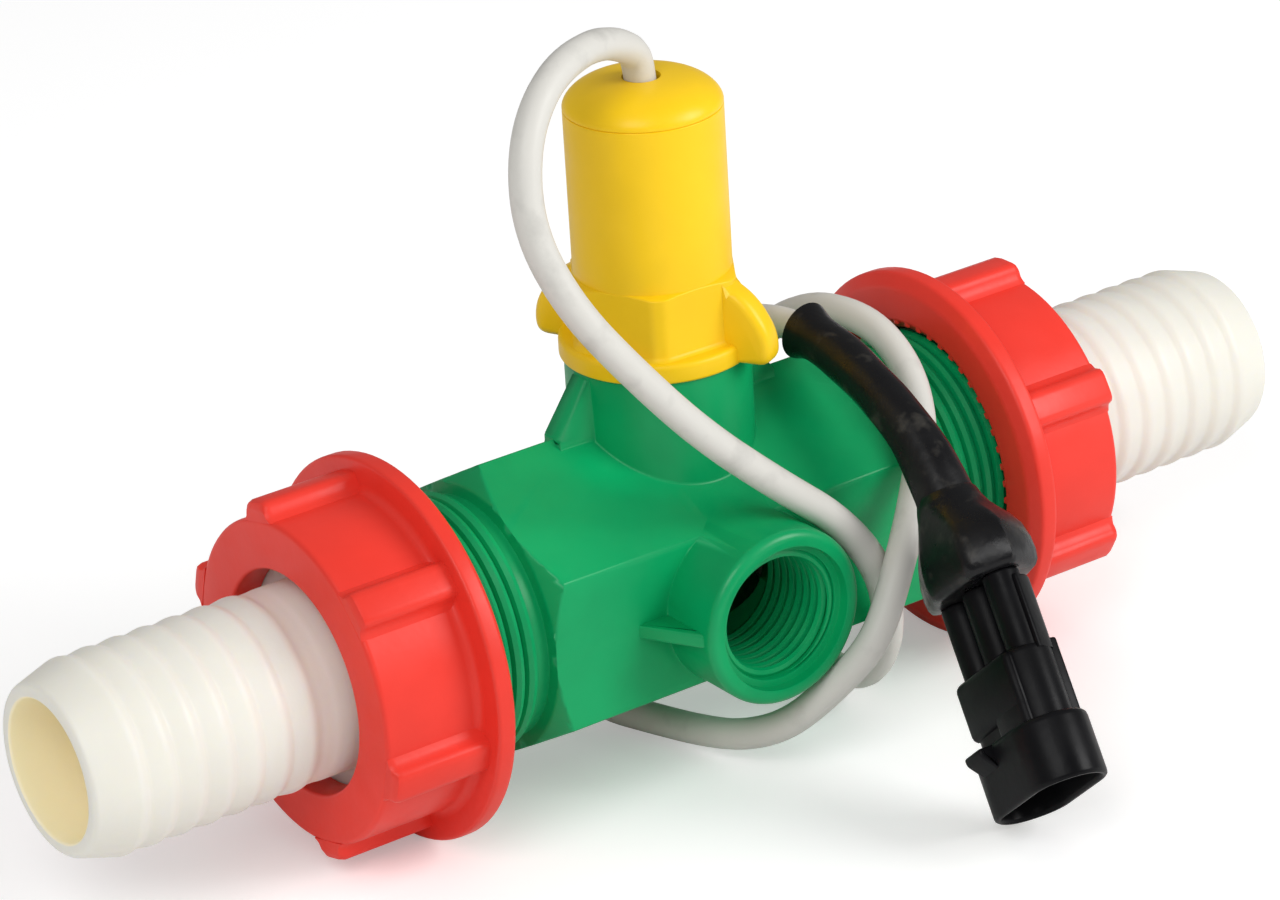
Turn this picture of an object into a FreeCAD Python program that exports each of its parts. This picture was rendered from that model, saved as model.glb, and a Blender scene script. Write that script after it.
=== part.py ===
# In-line turbine flow meter for 32 mm hose, with a pulse sensor and its cable.
# Millimetres. +X is the flow, -Y the side port, +Z up. z = 0 is the bench that the ring nuts stand on,
# and the pipe axis lies one nut flange radius above it.
import FreeCAD, Part
import math
import operator
import os
import types
import Sketcher

SIZES = {
    # Meter body: hexagonal block with a corner on top, and its two threaded spigots
    "hex_flats": 43.0,
    "hex_length": 73.0,
    "hex_chamfer": 2.4,
    "hex_edge_round": 0.5,
    "spigot_length": 22.0,
    "spigot_lead": 1.2,
    "thread_root_radius": 19.45,
    "thread_crest_radius": 20.95,
    "thread_clearance": 0.3,
    # Flow passage
    "chamber_radius": 14.0,
    "chamber_length": 40.0,
    "seat_radius": 15.6,
    # Sensor boss
    "boss_radius": 14.5,
    "boss_top": 34.2,
    "boss_gusset_foot": 6.0,
    "boss_gusset_thickness": 4.4,
    "pocket_radius": 10.2,
    "pocket_floor": 17.4,
    # Side port
    "port_radius": 14.2,
    "port_reach": 33.0,
    "port_offset": 1.8,
    "port_rim_round": 1.5,
    "port_thread_radius": 10.48,
    "port_thread_depth": 11.4,
    "port_inner_radius": 9.6,
    "port_recess_radius": 11.6,
    "port_recess_depth": 1.8,
    "port_gusset_foot": 7.5,
    "port_gusset_setback": 4.0,
    "port_gusset_thickness": 4.0,
    # Ring nuts
    "nut_length": 20.8,
    "nut_flange_lip": 2.2,
    "nut_flange_thickness": 4.2,
    "nut_flange_round": 1.6,
    "nut_barrel_radius": 25.8,
    "nut_hole_radius": 17.8,
    "nut_lead": 1.8,
    "nut_end_wall": 5.2,
    "nut_seat_gap": 0.1,
    "nut_rib_count": 6,
    "nut_rib_width": 5.8,
    "nut_rib_height": 2.7,
    "nut_rib_round": 1.2,
    "inlet_nut_turn": 44.0,
    "outlet_nut_turn": 29.0,
    # Hose tails
    "tail_length": 52.0,
    "tail_bore_radius": 11.2,
    "tail_flange_radius": 20.6,
    "tail_flange_thickness": 4.2,
    "tail_neck_radius": 15.2,
    "tail_neck_length": 6.6,
    "barb_root_radius": 14.8,
    "barb_crest_radius": 15.6,
    "barb_pitch": 4.9,
    "barb_land": 0.9,
    "barb_count": 6,
    "lead_length": 7.5,
    "lead_end_radius": 13.4,
    "lead_round": 0.9,
    # Gaskets
    "gasket_thickness": 2.0,
    "gasket_inner_radius": 12.4,
    "gasket_outer_radius": 19.2,
    # Flow straighteners and bushes
    "insert_clearance": 0.1,
    "straightener_wall": 1.9,
    "vane_thickness": 1.6,
    "vane_length": 22.0,
    "hub_radius": 5.0,
    "hub_nose": 7.0,
    "bush_radius": 3.0,
    "bush_length": 6.0,
    "bush_flange_radius": 4.0,
    "bush_flange_thickness": 1.2,
    # Turbine rotor
    "rotor_length": 26.0,
    "rotor_hub_radius": 5.0,
    "rotor_tip_clearance": 0.7,
    "rotor_end_gap": 0.3,
    "blade_count": 6,
    "blade_thickness": 1.6,
    "blade_length": 8.2,
    "blade_pitch": 52.0,
    "blade_setback": 1.0,
    "axle_radius": 1.5,
    "axle_running_gap": 0.05,
    "magnet_count": 4,
    "magnet_radius": 1.55,
    "magnet_length": 2.8,
    # Pulse sensor
    "sensor_turn": -62.5,
    "sensor_radius": 12.3,
    "sensor_seam": 74.1,
    "sensor_wall": 1.8,
    "sensor_ring_radius": 15.2,
    "sensor_ring_thickness": 3.2,
    "sensor_hex_flats": 24.8,
    "sensor_hex_height": 10.7,
    "sensor_hex_chamfer": 1.5,
    "wing_reach": 20.5,
    "wing_thickness": 4.8,
    "wing_shoulder": 40.6,
    "wing_round": 7.0,
    "wing_foot_round": 2.6,
    "stem_clearance": 0.3,
    "stem_end_gap": 0.6,
    "stem_wall": 2.0,
    "oring_section_radius": 1.0,
    "oring_squeeze_gap": 0.05,
    "lid_edge_height": 2.6,
    "lid_crown": 2.0,
    "lid_round": 2.0,
    "lid_skirt": 4.0,
    "lid_fit": 0.1,
    "cable_hole_radius": 3.0,
    # Electronics
    "board_width": 11.0,
    "board_thickness": 1.6,
    "board_height": 46.0,
    "hall_width": 4.0,
    "hall_thickness": 1.5,
    "hall_height": 3.0,
    # Cable, sleeve, boot and connector
    "cable_radius": 2.5,
    "sleeve_radius": 4.3,
    "sleeve_clearance": 0.15,
    "boot_length": 14.0,
    "boot_half_width": 12.0,
    "boot_half_depth": 9.3,
    "plug_rear_length": 12.0,
    "plug_cavity_radius": 2.9,
    "plug_cavity_pitch": 6.8,
    "plug_cheek_wall": 2.0,
    "plug_block_length": 11.5,
    "plug_block_inset": 2.0,
    "plug_shroud_length": 10.5,
    "plug_shroud_width": 25.2,
    "plug_shroud_flat": 17.2,
    "plug_shroud_depth": 13.0,
    "plug_shroud_wall": 1.3,
    "plug_corner_round": 3.0,
    "plug_mouth_round": 2.0,
    "plug_mouth_depth": 8.5,
    "plug_panel_width": 15.0,
    "plug_panel_gap": 2.2,
    "plug_latch_width": 5.0,
    "plug_latch_height": 2.4,
    "plug_latch_offset": 3.5,
    "plug_rail_width": 4.0,
    "plug_rail_height": 1.1,
    "pin_width": 1.5,
    "pin_thickness": 0.8,
    "pin_length": 4.0,
}

# The cable's route, chosen point by point: out of the lid, down across the front, round the body twice,
# then through the sleeve and into the boot.
BARE_ROUTE = [
    (0, 0, 100), (0, 0, 111), (-4, -2, 117.3), (-13, -6, 120.3), (-24, -11, 117.8), (-31.5, -15, 110),
    (-34, -18, 99), (-30, -22, 87), (-21, -25.5, 76), (-10, -27, 65.8), (2.5, -27.7, 53.6),
    (14, -27.5, 41.2), (21.5, -27, 28.2), (24, -24.5, 15.2), (24.5, -17.5, 6), (26, -6, 2.9),
    (27, 10, 3.2), (29, 25, 14), (31.5, 30, 31), (34.5, 25, 47), (38, 13, 57), (39.5, -2, 58.5),
    (38.5, -13.3, 54), (34.2, -22, 47.1), (27.1, -27.9, 39), (19.1, -33.2, 30.9), (14, -34.8, 21.3),
    (9.5, -31.5, 13.6), (2.5, -26, 8), (-5.5, -20, 6), (-10.5, -11, 5.6), (-13, -2, 3.1), (-13.5, 9, 3),
    (-12, 21, 8), (-4.5, 30.2, 20), (6, 31, 35), (14.5, 25, 49), (21.5, 13.5, 58.5),
]
SLEEVED_ROUTE = [
    (25, 1, 61.8), (25.6, -10.5, 60.6), (25.3, -22.8, 56.8), (25.2, -34, 51), (24.3, -40.6, 44),
]
CABLE_ROUTE = BARE_ROUTE + SLEEVED_ROUTE
# The way the connector points and the way its wide side runs
PLUG_DIRECTION = FreeCAD.Vector(-0.157, -0.667, -0.728)
PLUG_WIDE_SIDE = FreeCAD.Vector(0.015, -0.739, 0.673)

OPERATIONS = {"+": operator.add, "-": operator.sub, "*": operator.mul, "/": operator.truediv}


class Formula:
    """A size twice over: its present value, and the expression that binds a feature to the sheet."""

    def __init__(self, value, text):
        self.value = value
        self.text = text

    def __add__(self, other):
        return combined(self, "+", other)

    def __radd__(self, other):
        return combined(other, "+", self)

    def __sub__(self, other):
        return combined(self, "-", other)

    def __rsub__(self, other):
        return combined(other, "-", self)

    def __mul__(self, other):
        return combined(self, "*", other)

    def __rmul__(self, other):
        return combined(other, "*", self)

    def __truediv__(self, other):
        return combined(self, "/", other)

    def __neg__(self):
        return combined(0, "-", self)


def formula(size):
    return size if isinstance(size, Formula) else Formula(size, str(size))


def combined(left, sign, right):
    left, right = formula(left), formula(right)
    value = OPERATIONS[sign](left.value, right.value)
    return Formula(value, f"({left.text} {sign} {right.text})")


doc = FreeCAD.newDocument("FlowMeter")
sheet = doc.addObject("Spreadsheet::Sheet", "Sizes")
for row, (alias, size) in enumerate(SIZES.items(), start=1):
    sheet.set(f"A{row}", alias)
    sheet.set(f"B{row}", str(size))
    sheet.setAlias(f"B{row}", alias)
doc.recompute()
S = types.SimpleNamespace(**{alias: Formula(size, f"Sizes.{alias}") for alias, size in SIZES.items()})

# Places that several pieces share
NUT_RIB_REACH = S.nut_barrel_radius + S.nut_rib_height
NUT_FLANGE_RADIUS = NUT_RIB_REACH + S.nut_flange_lip
AXIS_HEIGHT = NUT_FLANGE_RADIUS
HEX_HALF = S.hex_length / 2
HEX_CORNER = S.hex_flats / math.sqrt(3)
SPIGOT_END = HEX_HALF + S.spigot_length
CHAMBER_HALF = S.chamber_length / 2
TAIL_FOOT = SPIGOT_END + S.gasket_thickness
TAIL_END = TAIL_FOOT + S.tail_length
NUT_END = TAIL_FOOT + S.tail_flange_thickness + S.nut_seat_gap + S.nut_end_wall
NUT_FACE = NUT_END - S.nut_length
ROTOR_HALF = S.rotor_length / 2
BUSH_FACE = ROTOR_HALF + S.rotor_end_gap
HUB_FACE = BUSH_FACE + S.bush_flange_thickness
BUSH_END = HUB_FACE + S.bush_length
STEM_RADIUS = S.pocket_radius - S.stem_clearance
STEM_END = S.pocket_floor + S.stem_end_gap
RING_TOP = S.boss_top + S.sensor_ring_thickness
SENSOR_HEX_TOP = RING_TOP + S.sensor_hex_height
CAVITY_FLOOR = STEM_END + S.sensor_wall
CAVITY_RADIUS = S.sensor_radius - S.sensor_wall
WING_ROOT = S.sensor_radius - S.sensor_wall / 2
ORING_MIDDLE = S.pocket_radius - S.oring_section_radius - S.oring_squeeze_gap
ORING_GROOVE_RADIUS = ORING_MIDDLE - S.oring_section_radius - S.oring_squeeze_gap
ORING_HEIGHT = S.boss_top - 4 * S.oring_section_radius
STEM_CAVITY_RADIUS = ORING_GROOVE_RADIUS - S.stem_wall
LID_TOP = S.sensor_seam + S.lid_edge_height + S.lid_crown
PLUG_BLOCK_END = S.plug_rear_length + S.plug_block_length
PLUG_END = PLUG_BLOCK_END + S.plug_shroud_length
PLUG_FLOOR = PLUG_END - S.plug_mouth_depth


# Sketches and features

def bind(item, name, size):
    item.setExpression(name, formula(size).text)


def new_body(label, on_axis=True):
    body = doc.addObject("PartDesign::Body", label)
    body.Label = label
    if on_axis:
        bind(body, "Placement.Base.z", AXIS_HEIGHT)
    return body


def origin_feature(body, role):
    return next(feature for feature in body.Origin.OriginFeatures if feature.Role == role)


def sketch_on(body, name, role, shift_x=None, lift=None):
    sketch = body.newObject("Sketcher::SketchObject", name)
    sketch.AttachmentSupport = (origin_feature(body, role), [""])
    sketch.MapMode = "FlatFace"
    if shift_x:
        bind(sketch, "AttachmentOffset.Base.x", shift_x)
    if lift:
        bind(sketch, "AttachmentOffset.Base.z", lift)
    return sketch


def hold_point(sketch, geometry, vertex, place):
    for kind, size in zip(("DistanceX", "DistanceY"), place):
        constraint = Sketcher.Constraint(kind, -1, 1, geometry, vertex, formula(size).value)
        bind(sketch, f"Constraints[{sketch.addConstraint(constraint)}]", size)


def outline(body, name, role, corners, shift_x=None, lift=None):
    """A closed outline of straight lines, each corner held by two formulas."""
    sketch = sketch_on(body, name, role, shift_x, lift)
    points = [FreeCAD.Vector(formula(across).value, formula(upward).value, 0) for across, upward in corners]
    for start, end in zip(points, points[1:] + points[:1]):
        sketch.addGeometry(Part.LineSegment(start, end), False)
    for index, place in enumerate(corners):
        previous = (index - 1) % len(corners)
        sketch.addConstraint(Sketcher.Constraint("Coincident", previous, 2, index, 1))
        hold_point(sketch, index, 1, place)
    return sketch


def circle(body, name, role, place, radius):
    sketch = sketch_on(body, name, role)
    centre = FreeCAD.Vector(formula(place[0]).value, formula(place[1]).value, 0)
    sketch.addGeometry(Part.Circle(centre, FreeCAD.Vector(0, 0, 1), radius.value), False)
    hold_point(sketch, 0, 3, place)
    index = sketch.addConstraint(Sketcher.Constraint("Radius", 0, radius.value))
    bind(sketch, f"Constraints[{index}]", radius)
    return sketch


def pad(body, name, sketch, length, symmetric=False):
    feature = body.newObject("PartDesign::Pad", name)
    feature.Profile = sketch
    bind(feature, "Length", length)
    if symmetric:
        feature.SideType = "Symmetric"
    return feature


def turned(body, name, sketch, kind="Revolution", axis="H_Axis"):
    feature = body.newObject(f"PartDesign::{kind}", name)
    feature.Profile = sketch
    feature.ReferenceAxis = (sketch, [axis])
    feature.Angle = 360
    return feature


def mirrored(body, name, originals):
    feature = body.newObject("PartDesign::Mirrored", name)
    feature.Originals = originals
    feature.MirrorPlane = (origin_feature(body, "YZ_Plane"), [""])
    body.Tip = feature
    return feature


def round_the_pipe(body, name, originals, count):
    feature = body.newObject("PartDesign::PolarPattern", name)
    feature.Originals = originals
    feature.Axis = (origin_feature(body, "X_Axis"), [""])
    feature.Angle = 360
    bind(feature, "Occurrences", count)
    body.Tip = feature
    return feature


def along_x(body, name, originals, length, count):
    feature = body.newObject("PartDesign::LinearPattern", name)
    feature.Originals = originals
    feature.Direction = (origin_feature(body, "X_Axis"), [""])
    bind(feature, "Length", length)
    bind(feature, "Occurrences", count)
    body.Tip = feature
    return feature


def rounded(body, name, base, radius, chosen):
    """A fillet on the edges of the base feature that pass the test chosen(edge)."""
    doc.recompute()
    names = [f"Edge{index}" for index, edge in enumerate(base.Shape.Edges, start=1) if chosen(edge)]
    feature = body.newObject("PartDesign::Fillet", name)
    feature.Base = (base, names)
    bind(feature, "Radius", radius)
    body.Tip = feature
    return feature


def is_ring(edge, axis, position, radius):
    """True for a circle about the given axis (0, 1 or 2) at that position and radius."""
    curve = edge.Curve
    if not isinstance(curve, Part.Circle):
        return False
    near = abs(curve.Radius - radius.value) < 0.01 and abs(curve.Center[axis] - position.value) < 0.01
    return near and abs(abs(curve.Axis[axis]) - 1) < 0.001


def is_line_along(edge, axis):
    straight = edge.Curve.TypeId == "Part::GeomLine"
    return straight and abs(edge.tangentAt(edge.FirstParameter)[axis]) > 0.99


def rectangle(left, bottom, right, top):
    return [(left, bottom), (right, bottom), (right, top), (left, top)]


def face_inlet(body):
    """Turn a piece that was drawn for the outlet end round to the inlet end."""
    body.Placement.Rotation = FreeCAD.Rotation(FreeCAD.Vector(0, 0, 1), 180)


# Meter body

def make_meter_body():
    body = new_body("meter_body")
    half, low = S.hex_flats / 2, HEX_CORNER / 2
    corners = [(half, low), (0, HEX_CORNER), (-half, low), (-half, -low), (0, -HEX_CORNER), (half, -low)]
    prism = pad(body, "HexPrism", outline(body, "HexOutline", "YZ_Plane", corners), S.hex_length, True)
    rounded(body, "HexEdges", prism, S.hex_edge_round, lambda edge: is_line_along(edge, 0))

    # The cone that chamfers the block's ends runs a fifth past the corners, to cut them clean
    overshoot = 1.2
    cone_radius = half + overshoot * (HEX_CORNER - half)
    cone = [(HEX_HALF, half), (HEX_HALF, cone_radius), (HEX_HALF - overshoot * S.hex_chamfer, cone_radius)]
    end_chamfer = turned(body, "EndChamfer", outline(body, "ChamferOutline", "XY_Plane", cone), "Groove")
    spigot = [(CHAMBER_HALF, 0), (SPIGOT_END, 0), (SPIGOT_END, S.thread_root_radius - S.spigot_lead),
              (SPIGOT_END - S.spigot_lead, S.thread_root_radius), (CHAMBER_HALF, S.thread_root_radius)]
    spigot_end = turned(body, "Spigot", outline(body, "SpigotOutline", "XY_Plane", spigot))
    mirrored(body, "OtherEnd", [end_chamfer, spigot_end])

    add_sensor_boss(body)
    add_side_port(body)

    outside = SPIGOT_END + 1
    passage = [(-outside, 0), (outside, 0), (outside, S.seat_radius), (CHAMBER_HALF, S.seat_radius),
               (CHAMBER_HALF, S.chamber_radius), (-CHAMBER_HALF, S.chamber_radius),
               (-CHAMBER_HALF, S.seat_radius), (-outside, S.seat_radius)]
    turned(body, "FlowPassage", outline(body, "PassageOutline", "XY_Plane", passage), "Groove")
    return body


def add_sensor_boss(body):
    boss = circle(body, "BossOutline", "XY_Plane", (0, 0), S.boss_radius)
    pad(body, "SensorBoss", boss, S.boss_top)
    foot, buried = S.boss_radius + S.boss_gusset_foot, S.boss_radius / 2
    sunk, top = HEX_CORNER - S.boss_gusset_thickness / 2, S.boss_top - 1
    gusset = [(buried, sunk), (foot, sunk), (foot, HEX_CORNER), (S.boss_radius, top), (buried, top)]
    rib = pad(body, "BossGusset", outline(body, "BossGussetOutline", "XZ_Plane", gusset),
              S.boss_gusset_thickness, True)
    mirrored(body, "BossGussets", [rib])
    well = rectangle(0, S.pocket_floor, S.pocket_radius, S.boss_top + 1)
    turned(body, "SensorPocket", outline(body, "PocketOutline", "XZ_Plane", well), "Groove", "V_Axis")


def add_side_port(body):
    rim = circle(body, "PortOutline", "XZ_Plane", (-S.port_offset, 0), S.port_radius)
    boss = pad(body, "PortBoss", rim, S.port_reach)
    rounded(body, "PortRim", boss, S.port_rim_round,
            lambda edge: is_ring(edge, 1, -S.port_reach, S.port_radius))
    front, flat = S.port_gusset_setback - S.port_reach, -S.hex_flats / 2
    for side, name in ((-1, "InletPortGusset"), (1, "OutletPortGusset")):
        buried = side * S.port_radius / 2
        wall, foot = side * S.port_radius, side * (S.port_radius + S.port_gusset_foot)
        gusset = [(buried, front), (wall, front), (foot, flat), (foot, flat + 1), (buried, flat + 1)]
        sketch = outline(body, f"{name}Outline", "XY_Plane", gusset, shift_x=-S.port_offset)
        pad(body, name, sketch, S.port_gusset_thickness, True)
    mouth, seat = -S.port_reach - 1, S.port_recess_depth - S.port_reach
    thread_end, inside = S.port_thread_depth - S.port_reach, -S.chamber_radius / 2
    hole = [(0, mouth), (S.port_recess_radius, mouth), (S.port_recess_radius, seat),
            (S.port_thread_radius, seat), (S.port_thread_radius, thread_end),
            (S.port_inner_radius, thread_end), (S.port_inner_radius, inside), (0, inside)]
    sketch = outline(body, "PortHoleOutline", "XY_Plane", hole, shift_x=-S.port_offset)
    turned(body, "PortHole", sketch, "Groove", "V_Axis")


# Ring nuts, hose tails and gaskets

def make_ring_nut(label, turn, at_inlet):
    body = new_body(label)
    bore, back = S.thread_crest_radius + S.thread_clearance, NUT_FACE + S.nut_flange_thickness
    shoulder = NUT_END - S.nut_end_wall
    section = [(NUT_FACE + S.nut_lead, bore), (NUT_FACE, bore + S.nut_lead), (NUT_FACE, NUT_FLANGE_RADIUS),
               (back, NUT_FLANGE_RADIUS), (back, S.nut_barrel_radius), (NUT_END, S.nut_barrel_radius),
               (NUT_END, S.nut_hole_radius), (shoulder, S.nut_hole_radius), (shoulder, bore)]
    ring = turned(body, "Ring", outline(body, "RingSection", "XY_Plane", section))
    rim = rounded(body, "FlangeRim", ring, S.nut_flange_round,
                  lambda edge: is_ring(edge, 0, NUT_FACE, NUT_FLANGE_RADIUS))
    rounded(body, "FlangeBack", rim, S.nut_flange_round / 2,
            lambda edge: is_ring(edge, 0, back, NUT_FLANGE_RADIUS)
            or is_ring(edge, 0, NUT_END, S.nut_barrel_radius))
    start, sunk = NUT_FACE + S.nut_flange_thickness / 2, S.nut_barrel_radius - S.nut_rib_round
    rib = rectangle(start, sunk, NUT_END, NUT_RIB_REACH)
    grip = pad(body, "GripRib", outline(body, "RibOutline", "XY_Plane", rib), S.nut_rib_width, True)
    ribs = round_the_pipe(body, "GripRibs", [grip], S.nut_rib_count)
    rounded(body, "RibEdges", ribs, S.nut_rib_round, is_rib_top)
    bind(body, "Placement.Rotation.Roll", turn)
    if at_inlet:
        bind(body, "Placement.Rotation.Yaw", 180)
    return body


def is_rib_top(edge):
    """True for the edges round the top of a grip rib: across its outer end and along its two corners."""
    if edge.Curve.TypeId != "Part::GeomLine":
        return False
    reach, half_width = NUT_RIB_REACH.value, S.nut_rib_width.value / 2
    corner = math.hypot(reach, half_width)
    return all(reach - 0.01 < math.hypot(end.Y, end.Z) < corner + 0.01 for end in edge.Vertexes)


def make_hose_tail(label, at_inlet):
    body = new_body(label)
    flange_back = TAIL_FOOT + S.tail_flange_thickness
    neck_end, lead = flange_back + S.tail_neck_length, TAIL_END - S.lead_length
    crest, root, land = S.barb_crest_radius, S.barb_root_radius, S.barb_land
    section = [(TAIL_FOOT, S.tail_bore_radius), (TAIL_FOOT, S.tail_flange_radius),
               (flange_back, S.tail_flange_radius), (flange_back, S.tail_neck_radius),
               (neck_end, S.tail_neck_radius), (neck_end + land, root), (lead - land, root), (lead, crest),
               (lead + land, crest), (TAIL_END, S.lead_end_radius), (TAIL_END, S.tail_bore_radius)]
    tube = turned(body, "Tube", outline(body, "TubeSection", "XY_Plane", section))
    rounded(body, "LeadIn", tube, S.lead_round, lambda edge: is_ring(edge, 0, TAIL_END, S.lead_end_radius))
    first, sunk = lead - S.barb_count * S.barb_pitch, root - land
    slope_end = first + S.barb_pitch - 2 * land
    tooth = [(first - land, sunk), (slope_end, sunk), (slope_end, root), (first + land, crest),
             (first, crest), (first - land, root)]
    barb = turned(body, "Barb", outline(body, "BarbSection", "XY_Plane", tooth))
    along_x(body, "Barbs", [barb], (S.barb_count - 1) * S.barb_pitch, S.barb_count)
    if at_inlet:
        face_inlet(body)
    return body


def make_gasket(label, start):
    """A flat ring: a cylinder with a smaller cylinder cut out of it."""
    cylinders = []
    for name, radius in (("Outer", S.gasket_outer_radius), ("Inner", S.gasket_inner_radius)):
        cylinder = doc.addObject("Part::Cylinder", f"{label}{name}")
        bind(cylinder, "Radius", radius)
        bind(cylinder, "Height", S.gasket_thickness)
        cylinders.append(cylinder)
    ring = doc.addObject("Part::Cut", label)
    ring.Base, ring.Tool = cylinders
    ring.Label = label
    ring.Placement.Rotation = FreeCAD.Rotation(FreeCAD.Vector(0, 1, 0), 90)
    bind(ring, "Placement.Base.x", start)
    bind(ring, "Placement.Base.z", AXIS_HEIGHT)
    return ring


# Flow straighteners, bushes and turbine

def make_straightener(label, at_inlet):
    body = new_body(label)
    outer = S.seat_radius - S.insert_clearance
    inner, middle = outer - S.straightener_wall, outer - S.straightener_wall / 2
    tube = rectangle(CHAMBER_HALF, inner, SPIGOT_END, outer)
    turned(body, "Tube", outline(body, "TubeSection", "XY_Plane", tube))
    vane_end = CHAMBER_HALF + S.vane_length
    for name, role in (("UprightVane", "XZ_Plane"), ("LevelVane", "XY_Plane")):
        vane = rectangle(CHAMBER_HALF, -middle, vane_end, middle)
        pad(body, name, outline(body, f"{name}Outline", role, vane), S.vane_thickness, True)
    nose = vane_end + S.hub_nose
    hub = [(HUB_FACE, 0), (nose, 0), (nose - 0.3 * S.hub_nose, 0.55 * S.hub_radius),
           (vane_end, S.hub_radius), (HUB_FACE, S.hub_radius)]
    turned(body, "Hub", outline(body, "HubSection", "XY_Plane", hub))
    hole = rectangle(HUB_FACE - 1, 0, BUSH_END, S.bush_radius)
    turned(body, "BushHole", outline(body, "BushHoleSection", "XY_Plane", hole), "Groove")
    if at_inlet:
        face_inlet(body)
    return body


def make_bush(label, at_inlet):
    body = new_body(label)
    bore = S.axle_radius + S.axle_running_gap
    section = [(BUSH_FACE, bore), (BUSH_END, bore), (BUSH_END, S.bush_radius), (HUB_FACE, S.bush_radius),
               (HUB_FACE, S.bush_flange_radius), (BUSH_FACE, S.bush_flange_radius)]
    turned(body, "Bush", outline(body, "BushSection", "XY_Plane", section))
    if at_inlet:
        face_inlet(body)
    return body


def make_turbine_rotor():
    body = new_body("turbine_rotor")
    hub = rectangle(-ROTOR_HALF, S.axle_radius, ROTOR_HALF, S.rotor_hub_radius)
    turned(body, "Hub", outline(body, "HubSection", "XY_Plane", hub))
    start, sunk = S.blade_setback - ROTOR_HALF, (S.rotor_hub_radius + S.axle_radius) / 2
    section = rectangle(start, sunk, start + S.blade_thickness, S.chamber_radius - S.rotor_tip_clearance)
    sketch = outline(body, "BladeSection", "XY_Plane", section)
    blade = body.newObject("PartDesign::AdditiveHelix", "Blade")
    blade.Profile = sketch
    blade.ReferenceAxis = (sketch, ["H_Axis"])
    blade.Mode = "pitch-height-angle"
    bind(blade, "Pitch", S.blade_pitch)
    bind(blade, "Height", S.blade_length)
    round_the_pipe(body, "Blades", [blade], S.blade_count)
    well = rectangle(0, S.rotor_hub_radius - S.magnet_length, S.magnet_radius, S.rotor_hub_radius + 1)
    sketch = outline(body, "MagnetHoleOutline", "XZ_Plane", well)
    hole = turned(body, "MagnetHole", sketch, "Groove", "V_Axis")
    round_the_pipe(body, "MagnetHoles", [hole], S.magnet_count)
    return body


def make_rotor_magnets():
    magnets = []
    count = SIZES["magnet_count"]
    for index in range(count):
        magnet = doc.addObject("Part::Cylinder", f"Magnet{index + 1}")
        bind(magnet, "Radius", S.magnet_radius)
        bind(magnet, "Height", S.magnet_length)
        turn = 2 * math.pi * index / count
        across, upward = -math.sin(turn), math.cos(turn)
        foot = S.rotor_hub_radius - S.magnet_length
        outward = FreeCAD.Vector(0, across, upward)
        magnet.Placement.Rotation = FreeCAD.Rotation(FreeCAD.Vector(0, 0, 1), outward)
        bind(magnet, "Placement.Base.y", round(across, 6) * foot)
        bind(magnet, "Placement.Base.z", AXIS_HEIGHT + round(upward, 6) * foot)
        magnets.append(magnet)
    return group("rotor_magnets", magnets)


def group(label, pieces):
    compound = doc.addObject("Part::Compound", label)
    compound.Links = pieces
    compound.Label = label
    return compound


def make_rotor_axle():
    axle = doc.addObject("Part::Cylinder", "rotor_axle")
    axle.Label = "rotor_axle"
    reach = BUSH_END - S.rotor_end_gap
    bind(axle, "Radius", S.axle_radius)
    bind(axle, "Height", 2 * reach)
    axle.Placement.Rotation = FreeCAD.Rotation(FreeCAD.Vector(0, 1, 0), 90)
    bind(axle, "Placement.Base.x", -reach)
    bind(axle, "Placement.Base.z", AXIS_HEIGHT)
    return axle


# Pulse sensor

def make_sensor_housing():
    body = new_body("sensor_housing")
    corner, side = S.sensor_hex_flats / math.sqrt(3), S.sensor_hex_flats / 2
    base = [(corner, 0), (corner / 2, side), (-corner / 2, side), (-corner, 0),
            (-corner / 2, -side), (corner / 2, -side)]
    sketch = outline(body, "HexBaseOutline", "XY_Plane", base, lift=RING_TOP)
    pad(body, "HexBase", sketch, S.sensor_hex_height)
    chamfer = [(WING_ROOT, SENSOR_HEX_TOP), (S.sensor_ring_radius, SENSOR_HEX_TOP),
               (S.sensor_ring_radius, SENSOR_HEX_TOP - S.sensor_hex_chamfer)]
    turned(body, "HexChamfer", outline(body, "HexChamferSection", "XZ_Plane", chamfer), "Groove", "V_Axis")
    section = [(0, STEM_END), (STEM_RADIUS, STEM_END), (STEM_RADIUS, S.boss_top),
               (S.sensor_ring_radius, S.boss_top), (S.sensor_ring_radius, RING_TOP),
               (S.sensor_radius, RING_TOP), (S.sensor_radius, S.sensor_seam), (0, S.sensor_seam)]
    turned(body, "Barrel", outline(body, "BarrelSection", "XZ_Plane", section), axis="V_Axis")
    add_finger_wings(body)
    half = S.oring_section_radius + S.oring_squeeze_gap
    seat = rectangle(ORING_GROOVE_RADIUS, ORING_HEIGHT - half, STEM_RADIUS + 0.1, ORING_HEIGHT + half)
    turned(body, "OringGroove", outline(body, "OringGrooveSection", "XZ_Plane", seat), "Groove", "V_Axis")
    cavity = [(0, CAVITY_FLOOR), (STEM_CAVITY_RADIUS, CAVITY_FLOOR), (STEM_CAVITY_RADIUS, RING_TOP),
              (CAVITY_RADIUS, SENSOR_HEX_TOP), (CAVITY_RADIUS, S.sensor_seam + 1), (0, S.sensor_seam + 1)]
    turned(body, "Cavity", outline(body, "CavitySection", "XZ_Plane", cavity), "Groove", "V_Axis")
    bind(body, "Placement.Rotation.Yaw", S.sensor_turn)
    return body


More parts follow.
